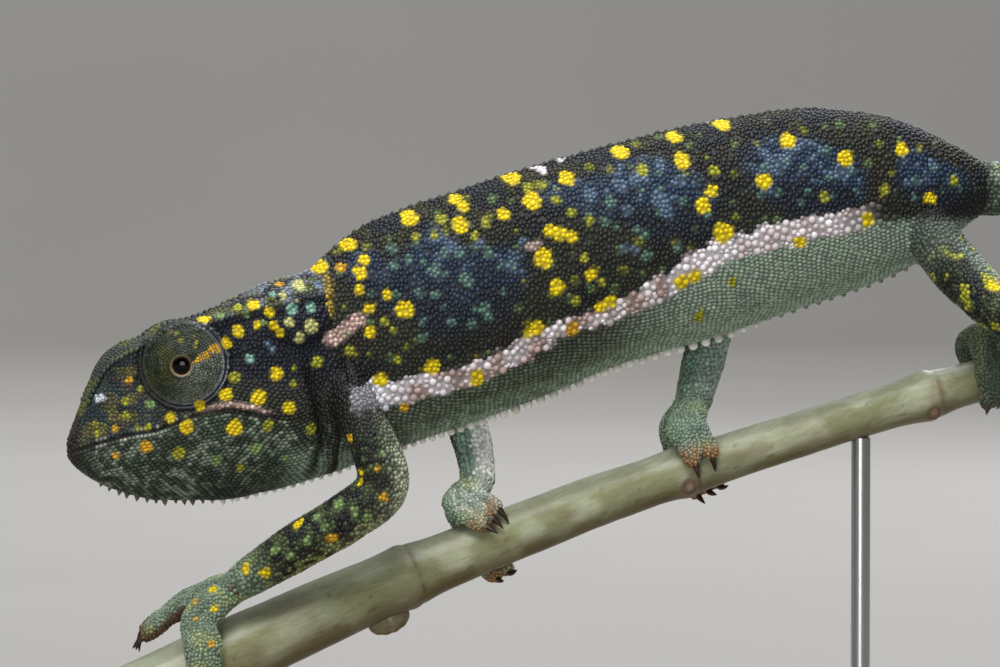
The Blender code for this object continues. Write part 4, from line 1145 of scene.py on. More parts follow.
def head_markings(points):
    """The head: navy temples, a mossy snout, a horny casque with a painted sheen, green jaws and the folds'
    tints, and painted shade along the mouth and in the folds.
    """
    x, y, z = points.T
    lumps, fine, patch = noises(points, (4.0, 21), (0.8, 22), (2.0, 23))
    mouth = level_on(MOUTH_LINE, x)
    snout = rise(x, -54.5, -3)
    band = snout * bump(near_line(points, SNOUT_BAND)[0], 3.0)
    crown = ease((z - crest_level(x) + 0.8) / 1.4)
    jaw = ease((mouth - 0.15 - z) / 0.5) * (x < -36) + rise(z, 83.5, -3.0) * (x >= -36)
    green = layers(
        JAW,
        (JAW_LIGHT, rise(fine, 0.36, 0.4) * 0.6),
        (OLIVE, rise(lumps, 0.5, 0.3) * 0.45),
        (JAW * 0.6, rise(x, -54, 8) * rise(z, 79, -4) * 0.5),
        (PALE, rise(x, -38, 6) * rise(z, 80.5, -4) * 0.7),
        (JAW * 0.5, rise(x, -64.0, -4) * 0.7),
    )
    lips = near_line(points, MOUTH_LINE)[0]
    labial = bump(lips - 0.5, 0.35) * rise(x, -67, 2) * rise(x, -50, -4)
    fold, share = near_line(points, RICTUS_FOLD)
    shown = ease(share * 3) * ease((1 - share) * 4)
    shadow_under_fold = near_line(points - np.array((0, 0, -1.05)), RICTUS_FOLD)[0]
    salt = np.hypot((x + 64.9) / 1.15, z - 87.1)
    streak = np.hypot(x + 28.4, (z - 103.0) / 4.0)
    off_middle = rise(np.abs(y), 2.5, 1.5)
    return layers(
        TEMPLE,
        (CHEEK, ease((91.5 - z) / 4 + 0.6 * (lumps - 0.5))),
        (SNOUT_BLUE, snout),
        (SNOUT_BLUE * 0.4, snout * rise(patch, 0.5, 0.2) * 0.8),
        (SNOUT_MOSS, band * rise(clouds(points, 1.5, 24), 0.36, 0.3) * 0.75),
        (SNOUT_BROWN, band * rise(clouds(points, 1.2, 25), 0.58, 0.2) * 0.6),
        (OLIVE * 1.3, ease((mouth + 4.5 - z) / 3) * (x > -56) * rise(patch, 0.35, 0.3) * 0.8),
        (HORN, crown * 0.8 * (1 - 0.8 * rise(x, -54, 6))),
        # Painted sheen: blue grey patches over the rear of the casque's top.
        (CASQUE_BLUE_SHEEN, crown * rise(x, -44, 6) * rise(patch, 0.47, 0.12) * 0.7),
        (MOSS * 0.5, crown * rise(clouds(points, 1.6, 26), 0.5, 0.2) * 0.6),
        (CASQUE_GREY, crown * rise(fine, 0.55, 0.2) * 0.25 * rise(x, -52, 6)),
        (green, jaw),
        (LIP, labial * rise(clouds(points, 0.6, 27), 0.42, 0.12) * 0.7),
        # Painted shade along the slit of the mouth.
        (DARK * 0.4, bump(lips, 0.2) * 0.9),
        (SNOUT_TIP, rise(x, -67.4, -1.2) * 0.85),
        (FOLD * (0.7 + 0.5 * fine[:, None]), bump(fold, 0.4) * shown),
        # Painted shadow under the fold at the corner of the mouth.
        (DARK * 0.3, bump(shadow_under_fold, 0.28) * rise(x, -48, 2) * (x < -37.5)),
        (SALT, ease((0.85 - salt + 0.5 * (fine - 0.5)) / 0.3)),
        (CREAM, off_middle * ease((1.1 - streak + 0.4 * (fine - 0.5)) / 0.3)),
        # Painted shade in the fold behind the jaw.
        (DARK * 0.35, bump(near_line(points, JAW_FOLD)[0], 1.0) * 0.85),
    )


def blush(colours, points):
    """The pink patch that crosses from the flap to the shoulder."""
    fine = clouds(points, 0.8, 22)
    reach = near_line(points, BLUSH_LINE)[0]
    share = ease((1.35 - reach + 0.8 * (fine - 0.5)) / 0.4)
    return mix(colours, BLUSH * (0.7 + 0.5 * fine[:, None]), share)


def turret_markings(colours, points, side):
    """Rings of green and grey, with a streak of orange yellow that runs up and back, and painted light and
    shade on the folds round the eye.
    """
    radius, height = eye_polar(points, side)
    out = points - eye_axes(side)[0]
    clock = np.degrees(np.arctan2(out[:, 2], out[:, 0])) + 14 * (clouds(points, 1.0, 33) - 0.5)
    fine, patch = noises(points, (0.6, 31), (2.2, 32))
    grey = ease((np.cos(np.radians(clock + 40)) + 0.35) / 1.2)
    streak = ease(1.5 - np.abs(clock - 30) / (4 + 30 / np.maximum(radius, 1.0))) * rise(radius, 1.7, 0.5)
    lid = layers(
        TURRET_DARK,
        (TURRET_GREY, grey * 0.85),
        (TURRET_GREY * 0.25, rise(fine, 0.5, 0.2) * 0.6),
        (MOSS * 0.6, rise(patch, 0.5, 0.2) * (1 - grey) * 0.25),
        (TURRET_STREAK, streak * rise(fine, 0.26, 0.2) * 0.95),
    )
    for at, width, start, end in TURRET_BLOTS:
        blot = ease(1.2 - np.abs(clock - at) / width) * rise(radius, start, 0.8) * rise(radius, end, -0.6)
        lid = mix(lid, TURRET_BLOT, blot * rise(fine, 0.3, 0.2) * 0.7)
    lid = mix(lid, LID_EDGE, bump(radius - LID_OPENING - 0.06, 0.13))
    # Painted shade in the opening round the eyeball.
    lid = mix(lid, DARK * 0.15, radius < LID_OPENING - 0.05)
    near = (height > 0) & (height < TURRET_TOP)
    colours = np.where(((radius < 6.25) & (height > 0.5) & near)[:, None], lid, colours)
    ring = near * (bump(radius - LID_RINGS[0], 0.14) + bump(radius - LID_RINGS[1], 0.15))
    # Painted light and shade: each ring fold is painted lit on one side and shaded on the other, and the
    # grooves between and round the folds darker.
    lit = ease((np.cos(np.radians(clock + 20)) + 0.6) / 1.2)
    groove = near * (bump(radius - LID_GROOVE, 0.11) + 0.8 * bump(radius - 7.3, 0.3))
    return layers(colours, (mix(RING_SHADED, RING_LIT, lit), ring * 0.9), (DARK * 0.25, groove))


def limb_markings(points, label, outward, share):
    """Dark and granular outside, pale on the side that faces the body, with brown soles. The pale side is
    brightened as painted light, and the near hind foot darkened as painted shade.
    """
    fine, patch = noises(points, (0.9, 41), (2.6, 42))
    side = np.where(np.char.find(np.array(LABELS), "right")[label] >= 0, 1.0, -1.0)
    leg, toes = label < FIRST_FOOT, label >= FIRST_FOOT
    lower = np.where(leg, rise(share, 0.26, 0.12), 1.0)
    wrist = np.where(leg, rise(share, 0.84, 0.16), 1.0)
    below = ease((0.75 * outward[:, 0] - outward[:, 2] - 0.25) / 0.7)
    behind = rise(outward[:, 0], -0.15, 0.9) * bump(share - 0.47, 0.16) * leg
    thigh = (label == LABELS.index("hind_left")) * (1 - rise(share, 0.55, 0.1))
    foot = layers(
        FOOT_GREEN,
        (FOOT_GREEN * 0.6, rise(fine, 0.5, 0.2) * 0.5),
        (LIMB_EDGE * 1.1, rise(patch, 0.5, 0.15) * 0.5),
    )
    inner = ease((-side * outward[:, 1] + 0.05) / 0.5) * np.where(leg, 1.0, 0.35)
    # The pale side that faces the body is its own colour, pushed near white as painted light where the body
    # shades it.
    tint = np.where((points[:, 0] > 15)[:, None], INNER_HIND, INNER)
    pale = mix(tint, INNER_DARK, ease((-outward[:, 0] - 0.05) / 0.5) * 0.9)
    colours = layers(
        DARK * 0.9,
        (OLIVE, rise(patch, 0.3, 0.3) * 0.8),
        (LIMB_GREEN, rise(fine, 0.50, 0.12) * (0.1 + 0.42 * lower)),
        (LIMB_EDGE, below * lower * rise(fine, 0.3, 0.25) * 0.7),
        (ELBOW, behind * (0.6 + 0.4 * rise(fine, 0.4, 0.2))),
        (THIGH, thigh * rise(outward[:, 0], -0.4, 0.6) * 0.75),
        (LEMON, thigh * rise(clouds(points, 1.6, 43), 0.62, 0.08) * 0.8),
        (foot, wrist * 0.9),
        (pale, inner * (side > 0)),
        (pale * 0.8, inner * (side < 0) * 0.8),
    )
    lifted = label == LABELS.index("front_left_inner")
    sole = np.where(lifted, ease((-outward[:, 2] + 0.1) / 0.4), 0.0)
    tip = toes * rise(share, 0.72, 0.2) * (side > 0)
    return layers(
        colours,
        # Painted shade: the near hind foot is painted darker.
        (colours * 0.4, (points[:, 0] > 60) * (wrist > 0.5) * 0.9),
        (SOLE, sole * toes * 0.95),
        (TOE_TIP, tip * (0.35 + 0.6 * rise(fine, 0.4, 0.2))),
        (SOLE, toes * rise(share, 0.85, 0.12) * (side < 0) * 0.8),
    )


def tail_markings(points, chart):
    """Dark and pale green bands, closer together towards the tip."""
    along = np.clip((chart[:, 1] - CHARTS["tail"][1]) / TAIL_LENGTH, 0, 1)
    wave = np.sin(2 * math.pi * TAIL_BANDS * along**0.85 + 1.4 * (clouds(points, 3.0, 51) - 0.5))
    return layers(
        DARK * 1.1,
        (BELLY, rise(wave, -0.2, 0.6) * 0.8),
        (PALE, rise(wave, 0.3, 0.5) * rise(clouds(points, 1.0, 52), 0.5, 0.15) * 0.7),
        (TURQUOISE * 0.6, rise(clouds(points, 1.1, 53), 0.74, 0.06) * 0.6),
        (LEMON, rise(clouds(points, 1.5, 54), 0.80, 0.04) * 0.8),
    )


def ground(points, source):
    """The animal's colours under its spots, and the source point nearest to each place."""
    nearest = source.nearest(points)
    label, share = source.label[nearest], source.share[nearest]
    x = points[:, 0]
    trunk = body_markings(points)
    head = head_markings(points)
    for side in SIDES:
        own_side = (points[:, 1] < 0) == (side == "left")
        head = np.where(own_side[:, None], turret_markings(head, points, side), head)
    colours = blush(mix(head, trunk, rise(x, -30.0, 2.5)), points)
    limbs = limb_markings(points, label, source.outward[nearest], share)
    leg = (label >= FIRST_LEG) & (label < FIRST_FOOT)
    # Painted shade: where a leg joins the body it takes the body's colours, painted much darker.
    limbs = np.where(leg[:, None], mix(colours * 0.28, limbs, rise(share, 0.16, 0.14)), limbs)
    tail = mix(trunk, tail_markings(points, source.chart[nearest]), rise(x, 78.0, 6.0))
    colours = np.where((label == BODY)[:, None], colours, limbs)
    colours = np.where((label == TAIL)[:, None], tail, colours)
    return colours, nearest


# ---- scales


def new_tree(name, inputs, output):
    """A geometry tree with named inputs and one output, and the sockets of its inputs."""
    group = bpy.data.node_groups.new(name, "GeometryNodeTree")
    for title, kind in inputs:
        group.interface.new_socket(title, in_out="INPUT", socket_type=f"NodeSocket{kind}")
    group.interface.new_socket(output, in_out="OUTPUT", socket_type="NodeSocketGeometry")
    return group, node(group, "NodeGroupInput").outputs


def scatter_tree():
    """Points spread over a mesh no nearer than a spacing, where an attribute says so."""
    inputs = (("Skin", "Geometry"), ("Spacing", "Float"), ("Region", "String"), ("Seed", "Int"))
    group, given = new_tree("spread_roots", inputs, "Roots")
    square = node(group, "ShaderNodeMath", {0: given["Spacing"], 1: given["Spacing"]}, operation="MULTIPLY")
    density = node(group, "ShaderNodeMath", {0: 6.0, 1: square.outputs[0]}, operation="DIVIDE")
    region = node(group, "GeometryNodeInputNamedAttribute", {"Name": given["Region"]}, data_type="FLOAT")
    values = {
        "Mesh": given["Skin"],
        "Distance Min": given["Spacing"],
        "Density Max": density.outputs[0],
        "Density Factor": region.outputs["Attribute"],
        "Seed": given["Seed"],
    }
    spread = node(group, "GeometryNodeDistributePointsOnFaces", values, distribute_method="POISSON")
    roots = node(group, "GeometryNodePointsToVertices", {"Points": spread.outputs["Points"]})
    node(group, "NodeGroupOutput", {"Roots": roots.outputs[0]})
    return group


def setting_tree():
    """A scale on each root, turned and sized by the root's own attributes."""
    inputs = (("Roots", "Geometry"), ("Scale shape", "Object"), ("Finish", "Material"))
    group, given = new_tree("set_scales", inputs, "Scales")
    shape = node(group, "GeometryNodeObjectInfo", {"Object": given["Scale shape"]})
    values = {"Points": given["Roots"], "Instance": shape.outputs["Geometry"]}
    for name, key in (("Rotation", "turn"), ("Scale", "size")):
        held = node(group, "GeometryNodeInputNamedAttribute", {"Name": key}, data_type="FLOAT_VECTOR")
        values[name] = held.outputs["Attribute"]
    placed = node(group, "GeometryNodeInstanceOnPoints", values)
    solids = node(group, "GeometryNodeRealizeInstances", {"Geometry": placed.outputs[0]})
    values = {"Geometry": solids.outputs[0], "Material": given["Finish"]}
    finished = node(group, "GeometryNodeSetMaterial", values)
    node(group, "NodeGroupOutput", {"Scales": finished.outputs[0]})
    return group


def run_tree(piece, group, values):
    """A geometry tree's result on an object, as a plain mesh."""
    modifier = piece.modifiers.new(group.name, "NODES")
    modifier.node_group = group
    for item in group.interface.items_tree:
        if item.in_out == "INPUT" and item.name in values:
            modifier[item.identifier] = values[item.name]
    mesh = evaluated_mesh(piece)
    piece.modifiers.remove(modifier)
    return mesh


def scale_shape(name, sides, rows, lean=0.0):
    """A closed-topped dome one unit in radius: rows of (radius, height), the last a single point."""
    points, faces = [], []
    for radius, height in rows[:-1]:
        for i in range(sides):
            angle = 2 * math.pi * i / sides
            points.append((radius * math.cos(angle) + lean * height, radius * math.sin(angle), height))
    points.append((rows[-1][0] + lean * rows[-1][1], 0, rows[-1][1]))
    top = (len(rows) - 2) * sides
    for a in range(0, top, sides):
        for i in range(sides):
            j = (i + 1) % sides
            faces.append((a + i, a + j, a + sides + j, a + sides + i))
    for i in range(sides):
        faces.append((top + i, top + (i + 1) % sides, len(points) - 1))
    faces.append(tuple(reversed(range(sides))))
    mesh = bpy.data.meshes.new(name)
    mesh.from_pydata(points, [], faces)
    mesh.shade_smooth()
    return bpy.data.objects.new(name, mesh), np.array(points)


def euler_of(forward, normal):
    """XYZ angles that turn +X to a direction and +Z to a normal, row by row."""
    across = unit(np.cross(normal, forward))
    forward = np.cross(across, normal)
    pitch = np.arcsin(np.clip(-forward[:, 2], -1, 1))
    roll = np.arctan2(across[:, 2], normal[:, 2])
    yaw = np.arctan2(forward[:, 1], forward[:, 0])
    return np.stack([roll, pitch, yaw], axis=1)


def neighbour_gap(points, count=4):
    """Mean distance from each point to its nearest few."""
    tree = tree_of(points)
    return np.array([np.mean([hit[2] for hit in tree.find_n(point, count + 1)[1:]]) for point in points])


def stacked(rows):
    """Roots joined: the place, normal, lie, and (length, width, height) of each scale."""
    joined = []
    for points, normals, lie, *sizes in rows:
        sizes = [np.broadcast_to(np.asarray(v, float), len(points)) for v in sizes]
        joined.append((points, normals, lie, np.stack(sizes, axis=1)))
    return [np.concatenate(column) for column in zip(*joined)]


def set_scales(name, roots, shape, source, tree, finish, tone, groove_shade, rng):
    """One coat piece: scales on their roots, painted one by one and mapped to the skin's charts."""
    points, normals, lie, sizes = roots
    shape_object, shape_points = shape
    holder = mesh_object(name + "_roots", points, [])
    for key, values in (("turn", euler_of(lie, normals)), ("size", sizes * MM)):
        layer = holder.data.attributes.new(key, "FLOAT_VECTOR", "POINT")
        layer.data.foreach_set("vector", values.astype(np.float32).ravel())
    coat = run_tree(holder, tree, {"Scale shape": shape_object, "Finish": finish})
    bpy.data.objects.remove(holder)
    colours, nearest = ground(points, source)
    if tone is not None:
        colours = tone(colours, points)
    sway = rng.normal(1.0, 0.15, len(points)).clip(0.6, 1.5)
    count = len(shape_points)
    share = np.tile(np.clip(shape_points[:, 2], 0, 1), len(points))
    colours = np.repeat(colours * sway[:, None], count, axis=0)
    # Painted shade and highlight: each scale is painted darker at its foot, where the gaps between scales
    # lie, and lighter towards its top.
    colours *= 1.12 - groove_shade * (1 - 1.35 * share[:, None] ** 0.8)
    if tone is None:
        between = (points_of(coat) + np.repeat(points, count, axis=0)) / 2
        # The spots get the same painted shade at each scale's foot and painted highlight at its top.
        colours = add_spots(colours, between, source.label[np.repeat(nearest, count)], 0.70 + 0.42 * share)
    paint(coat, np.clip(colours, 0, 1))
    offset = points - source.points[nearest]
    chart = source.chart[nearest].copy()
    for i, direction in enumerate((source.turn, source.lie)):
        chart[:, i] += np.sum(offset * direction[nearest], axis=1)
    patch = shape_points[:, :2] / np.abs(shape_points[:, :2]).max() * PATCH / 2
    spread = (chart / ATLAS)[:, None, :] + patch[None, :, :]
    corners = np.empty(len(coat.loops), np.int32)
    coat.loops.foreach_get("vertex_index", corners)
    mapped = np.clip(spread, 0.0005, 0.9995).reshape(-1, 2)[corners]
    coat.uv_layers.new(name="OFBake").data.foreach_set("uv", mapped.astype(np.float32).ravel())
    coat.shade_smooth()
    coat.name = name
    keep(put(name, coat))


class Surface:
    """The finished skin as something that roots can be set on."""

    def __init__(self, mesh):
        self.points = points_of(mesh)
        faces = [tuple(p.vertices) for p in mesh.polygons]
        self.tree = BVHTree.FromPolygons([Vector(p) for p in self.points], faces)
        normals = normals_of(mesh)
        self.face_normals = unit(np.array([normals[list(face)].mean(axis=0) for face in faces]))

    def snap(self, points):
        """Each point's nearest place on the skin, and the skin's normal there."""
        hits = [self.tree.find_nearest(Vector(point)) for point in points]
        return np.array([hit[0] for hit in hits]), self.face_normals[[hit[2] for hit in hits]]


def mark_regions(mesh, source):
    """One attribute for each region of scales: 1 where its scales stand and 0 elsewhere."""
    points = points_of(mesh)
    label = source.label[source.nearest(points)]
    x = points[:, 0]
    body = (label == BODY) & ~on_turrets(points) & ~in_mouth(points, 0.32)
    masks = {
        "face": body & (x < -44),
        "casque": body & (x >= -44) & (x < HEAD_REAR),
        "flank": body & (x >= HEAD_REAR),
        "tail": label == TAIL,
        "limb": (label >= FIRST_LEG) & (label < FIRST_FOOT),
        "foot": label >= FIRST_FOOT,
    }
    for name, mask in masks.items():
        layer = mesh.attributes.new(f"region_{name}", "FLOAT", "POINT")
        layer.data.foreach_set("value", mask.astype(np.float32))
    return list(masks)


# Least distance between neighbouring scales in each region, and between the larger ones
SPACING = {"face": 0.46, "casque": 0.58, "flank": 0.60, "tail": 0.60, "limb": 0.56, "foot": 0.45}
TUBERCLE_SPACING = {"flank": 2.3, "limb": 2.6}
TUBERCLE_RADIUS = {"flank": 0.50, "limb": 0.46}
STRIPE_SPACING, STRIPE_RADIUS = 1.12, 0.62  # the large scales of the pale stripe
NEAR_FIXED, NEAR_SMALL = 0.50, 0.40  # least distance to the scales set in rows, and to granules
HEAD_ROWS = (-69.0, HEAD_REAR, 0.41, 0.57)  # first and last column, and the gaps between columns and rows
BELLY_ROWS = (HEAD_REAR, 77.0, 0.84, 0.62)
BEAD_LIFT = 0.5  # how far the belly's beads stand off the skin, as a share of their radius
# Painted shade: how much darker each region's scales are painted at their feet, in the gaps between them.
GROOVE_SHADE = {"foot": 0.5, "limb": 0.62}  # how much darker a scale's foot is than its top


def clear_of(points, others, distance):
    """The points that lie further than a distance from all of the others."""
    tree = tree_of(others)
    return points[np.array([tree.find(point)[2] > distance for point in points], bool)]


def row_anchor(x):
    """The height that rows of scales run beside: the mouth, then the pale stripe."""
    mouth, stripe = (level_on(line, x) for line in (MOUTH_LINE, STRIPE))
    share = float(rise(x, -36.0, 9.0))
    return (1 - share) * mouth + share * stripe


def lattice(surface, rng):
    """Scales in rows along the jaws and belly, where the skin faces sideways or down."""
    points = []
    for start, stop, step, gap in (HEAD_ROWS, BELLY_ROWS):
        on_head = start < -60
        for column, x in enumerate(np.arange(start, stop, step)):
            half = half_section(x, 60, -COAT)
            arc = lengths(half)
            middle = float(np.interp(row_anchor(x), half[:, 1], arc))
            top = middle + (0.1 + 5.0 * float(rise(x, -57.5, 3.0)) if on_head else 0.0)
            for row in range(math.ceil((0.5 - middle) / gap), math.floor((top - middle) / gap) + 1):
                if on_head and (row + column) % 2:
                    continue
                brick = 0.0 if on_head else 0.5 * gap * (column % 2)
                spot = middle + row * gap - brick + rng.uniform(-0.06, 0.06)
                shift = 0.25 * math.sin(0.9 * spot + 0.5 * x) + rng.uniform(-0.07, 0.07)
                y, z = (float(np.interp(spot, arc, side)) for side in half.T)
                points += [(x + shift, y, z), (x + shift, -y, z)]
    points, normals = surface.snap(points)
    below_crest = (points[:, 2] < crest_level(points[:, 0]) - 0.6) | (points[:, 0] > HEAD_REAR)
    return points[(np.abs(normals[:, 0]) < 0.6) & below_crest & (np.abs(points[:, 1]) > 0.9)]


def turret_roots(surface, rng):
    """Rings of small scales round each eye's opening."""
    points, lies, radii = [], [], []
    for side in SIDES:
        centre, axis, across, upward = eye_axes(side)
        for i, radius in enumerate((*np.arange(LID_OPENING + 0.45, 6.0, 0.40), *LID_RINGS)):
            count = round(2 * math.pi * radius / 0.44)
            for angle in 2 * math.pi * (np.arange(count) + 0.5 * (i % 2)) / count:
                angle += rng.uniform(-0.10, 0.10) / radius
                out = math.cos(angle) * across + math.sin(angle) * upward
                reach = radius + rng.uniform(-0.09, 0.09) * (radius < 6)
                height = float(turret_profile(np.array([reach]))[0]) if radius < 6 else TURRET_RING_HEIGHT
                points.append(centre + reach * out + height * axis)
                lies.append(np.cross(axis, out))
                radii.append(rng.uniform(0.19, 0.26) if radius < 6 else 0.2)
    return *surface.snap(points), np.array(lies), np.array(radii)


def beside(line, spacing, side, lift=0.0):
    """Points evenly along a line of (x, z) on one side of the body, moved up by a lift."""
    rows = np.array(line, float)
    spots = through(rows, max(3, round(lengths(rows)[-1] / spacing)))
    return np.array([(x, SIDES[side] * half_width(x, z + lift), z + lift) for x, z in spots])


def row_roots(surface):
    """The larger scales along the lips, the crests of the casque and the folds."""
    crest = [(x, float(crest_level(x)) - 0.1) for x in np.linspace(-66.5, -31.0, 20)]
    brow = [(x, float(crest_level(x)) - 1.0) for x in np.linspace(-60.0, -33.0, 16)]
    lines = (  # (line, spacing, lift, radius, height)
        (MOUTH_LINE[1:6], 0.62, 0.5, 0.30, 0.22),
        (MOUTH_LINE[1:6], 0.62, -0.5, 0.30, 0.22),
        (crest, 0.85, 0.0, 0.46, 0.42),
        (brow, 0.75, 0.0, 0.36, 0.26),
        (TEMPLE_LINE, 0.80, 0.0, 0.40, 0.32),
    )
    rows = []
    for side in SIDES:
        for line, spacing, lift, radius, height in lines:
            rows.append((beside(line, spacing, side, lift), radius, height))
    rows.append(([(x, 0.0, float(back(x))) for x in np.arange(-61.0, -31.0, 0.95)], 0.48, 0.42))
    found = []
    for spots, radius, height in rows:
        points, normals = surface.snap(spots)
        found.append((points, normals, unit(np.gradient(points, axis=0)), radius, height))
    return found


def keel_roots(surface, height_at, xs, up, lift=0.0):
    """Roots along the middle of the back or the belly."""
    level = np.array([float(height_at(x)) for x in xs])
    points = np.stack([xs, np.zeros(len(xs)), level], axis=1)
    lies = unit(np.gradient(points, axis=0))
    normals = np.cross(lies, (0, 1.0, 0)) * (-1 if up else 1)
    normals *= np.sign(normals[:, 2:3]) * (1 if up else -1)
    snapped, _ = surface.snap(points)
    snapped[:, 1] = 0.0
    snapped += normals * np.reshape(lift, (-1, 1))
    return snapped, normals, lies


def tail_keel(source):
    """Roots along the top of the tail's first half."""
    rings = source.parts[TAIL][0].reshape(TAIL_RINGS, TAIL_SIDES, 3)
    tops = rings[4:130:3, TAIL_SIDES // 4]
    middles = rings[4:130:3].mean(axis=1)
    up = unit(tops - middles)
    side = 1 if up[0, 2] > 0 else -1
    points = middles + side * (tops - middles)
    return points, side * up, unit(np.gradient(middles, axis=0))


def gather_roots(skin, surface, source, tree, rng):
    """Every scale's root, region by region, with crowded ones taken out."""

    def spread(region, seed, spacing):
        values = {"Region": f"region_{region}", "Seed": SEED + seed, "Spacing": spacing * MM}
        return points_of(run_tree(skin, tree, values))

    regions = mark_regions(skin.data, source)
    rows = row_roots(surface)
    turret = turret_roots(surface, rng)
    fixed = np.concatenate([turret[0], *[row[0] for row in rows]])
    points = spread("flank", 20, STRIPE_SPACING)
    stripe, _ = near_line(points, STRIPE)
    big = {"stripe": points[(stripe < stripe_breadth(points) - 0.2) & (points[:, 0] > -27)]}
    rowed = lattice(surface, rng)
    label = source.label[source.nearest(rowed)]
    rowed = rowed[(label == BODY) & ~on_turrets(rowed) & ~in_mouth(rowed, 0.34)]
    rowed = clear_of(rowed, fixed, NEAR_FIXED)
    rowed = clear_of(rowed, big["stripe"], STRIPE_RADIUS + 0.15)
    small = {"rows": rowed}
    for i, name in enumerate(regions):
        if name in TUBERCLE_SPACING:
            points = spread(name, i, TUBERCLE_SPACING[name])
            big[name] = clear_of(points, np.concatenate([rowed, big["stripe"]]), 0.8)
        points = clear_of(spread(name, i, SPACING[name]), fixed, NEAR_FIXED)
        points = clear_of(points, big["stripe"], STRIPE_RADIUS + 0.15)
        if name in big:
            points = clear_of(points, big[name], TUBERCLE_RADIUS[name] + 0.2)
        small[name] = clear_of(points, np.concatenate(list(small.values())), NEAR_SMALL)
    for name in regions:
        skin.data.attributes.remove(skin.data.attributes[f"region_{name}"])
    return small, big, rows, turret


def ventral_tone(_, points):
    """White beads under the belly, dark cones under the chin."""
    x = points[:, 0]
    return mix(BEAD_WHITE, CONE_DARK, rise(x, -44.0, -4.0) * 0.9 + rise(x, 40.0, 8.0) * 0.75)


def dorsal_tone(colours, points):
    """The keel is lighter than the back that it stands on."""
    light = clouds(points, 2.6, 61)[:, None]
    return colours * (0.9 + 0.5 * light) + KEEL_GREY * 0.25


def build_coat(skin, surface, source, finish):
    """All the scales, in as many pieces as their triangles need."""
    rng = np.random.default_rng(SEED)
    small, big, rows, turret = gather_roots(skin, surface, source, scatter_tree(), rng)
    tree = setting_tree()
    granule = scale_shape("granule", 6, ((1.0, -0.5), (0.86, 0.58), (0.0, 1.0)))
    shingle = scale_shape("shingle", 6, ((1.0, -0.5), (0.86, 0.52), (0.0, 1.0)), 0.3)
    tubercle = scale_shape("tubercle", 8, ((1.0, -0.5), (0.96, 0.2), (0.66, 0.80), (0.0, 1.0)))
    cone = scale_shape("cone", 8, ((1.0, -0.4), (0.80, 0.2), (0.42, 0.66), (0.0, 1.0)), 0.25)
    bead = scale_shape("bead", 10, ((0.8, -1.1), (1.0, 0.0), (0.86, 0.52), (0.5, 0.88), (0.0, 1.0)))
    everything = np.concatenate([*small.values(), *big.values(), turret[0], *[row[0] for row in rows]])
    gap = dict(zip(map(tuple, everything), neighbour_gap(everything)))

    def lay(name, shape, roots, tone=None, groove_shade=0.80):
        """Sets one shape of scale on rows of (place, normal, lie, length, width, height)."""
        roots = stacked(roots)
        order = np.argsort(roots[0][:, 0])
        faces = sum(len(face.vertices) - 2 for face in shape[0].data.polygons)
        parts = math.ceil(len(order) * faces / PIECE_TRIANGLES)
        for i, chosen in enumerate(np.array_split(order, parts)):
            title = name if parts == 1 else f"{name}_{i + 1}"
            taken = [column[chosen] for column in roots]
            set_scales(title, taken, shape, source, tree, finish, tone, groove_shade, rng)

    def stand(points):
        """Each point's place on the skin, the skin's normal and the lie of its scales there."""
        on_skin, normals = surface.snap(points)
        return on_skin, normals, source.lie[source.nearest(on_skin)]

    for region, points in small.items():
        on_skin, normals, lie = stand(points)
        radius = np.clip(0.53 * np.array([gap[tuple(p)] for p in points]), 0.24, 0.52)
        radius *= rng.uniform(0.93, 1.07, len(points))
        shape, sizes = granule, (radius * 1.06, radius, radius * SCALE_HEIGHT)
        if region == "rows":
            lie = unit(lie + rng.normal(0, 0.05, (len(points), 3)))
            on_head, vary = points[:, 0] < HEAD_REAR, rng.uniform(0.88, 1.12, len(points))
            length, width = np.where(on_head, 0.46, 0.44), np.where(on_head, 0.31, 0.34)
            shape, sizes = shingle, (length * vary, width * vary, 0.19 * vary)
        groove_shade = GROOVE_SHADE.get(region, 0.8)
        lay(f"scales_{region}", shape, [(on_skin, normals, lie, *sizes)], groove_shade=groove_shade)
    large = []
    for region, points in big.items():
        vary = (0.68, 1.12) if region == "stripe" else (0.84, 1.10)
        radius = TUBERCLE_RADIUS.get(region, STRIPE_RADIUS) * rng.uniform(*vary, len(points))
        large.append((*stand(points), radius * 1.05, radius, radius * 0.5))
    lay("scales_tubercles", tubercle, large, groove_shade=0.6)
    *roots, radius = turret
    lay("scales_eyelids", granule, [(*roots, radius, radius * 0.92, radius * 0.6)])
    crests = [(*roots, radius * 1.05, radius, height) for *roots, radius, height in rows]
    lay("scales_crests", tubercle, crests)
    xs = np.arange(-64.5, -43.0, 1.5)
    xs = xs + rng.uniform(-0.25, 0.25, len(xs))
    size = (0.36 + 0.18 * rise(xs, -66, 8)) * rng.uniform(0.75, 1.2, len(xs))
    roots = keel_roots(surface, belly, xs, False)
    lay("scales_chin_cones", cone, [(*roots, size, size * 0.75, size * 1.8)], ventral_tone)
    xs = [-42.6]
    while xs[-1] < 75:
        xs.append(xs[-1] + 1.5 + 0.6 * float(rise(xs[-1], -12, 18)))
    xs = np.array(xs)
    size = (0.47 + 0.34 * rise(xs, -24, 28)) * (1 - 0.45 * rise(xs, 34, 12))
    roots = keel_roots(surface, belly, xs, False, BEAD_LIFT * size)
    lay("scales_belly_beads", bead, [(*roots, size, size * 0.95, size * 1.1)], ventral_tone, 0.5)
    xs = np.arange(-27.0, 79.0, 1.55)
    roots = keel_roots(surface, back, xs, True)
    keel = [(*roots, 0.7, 0.55, 0.5 - 0.2 * rise(xs, 30, 50)), (*tail_keel(source), 0.6, 0.48, 0.38)]
    lay("scales_back_keel", cone, keel, dorsal_tone)


# ---- eyes, claws, twig and stand


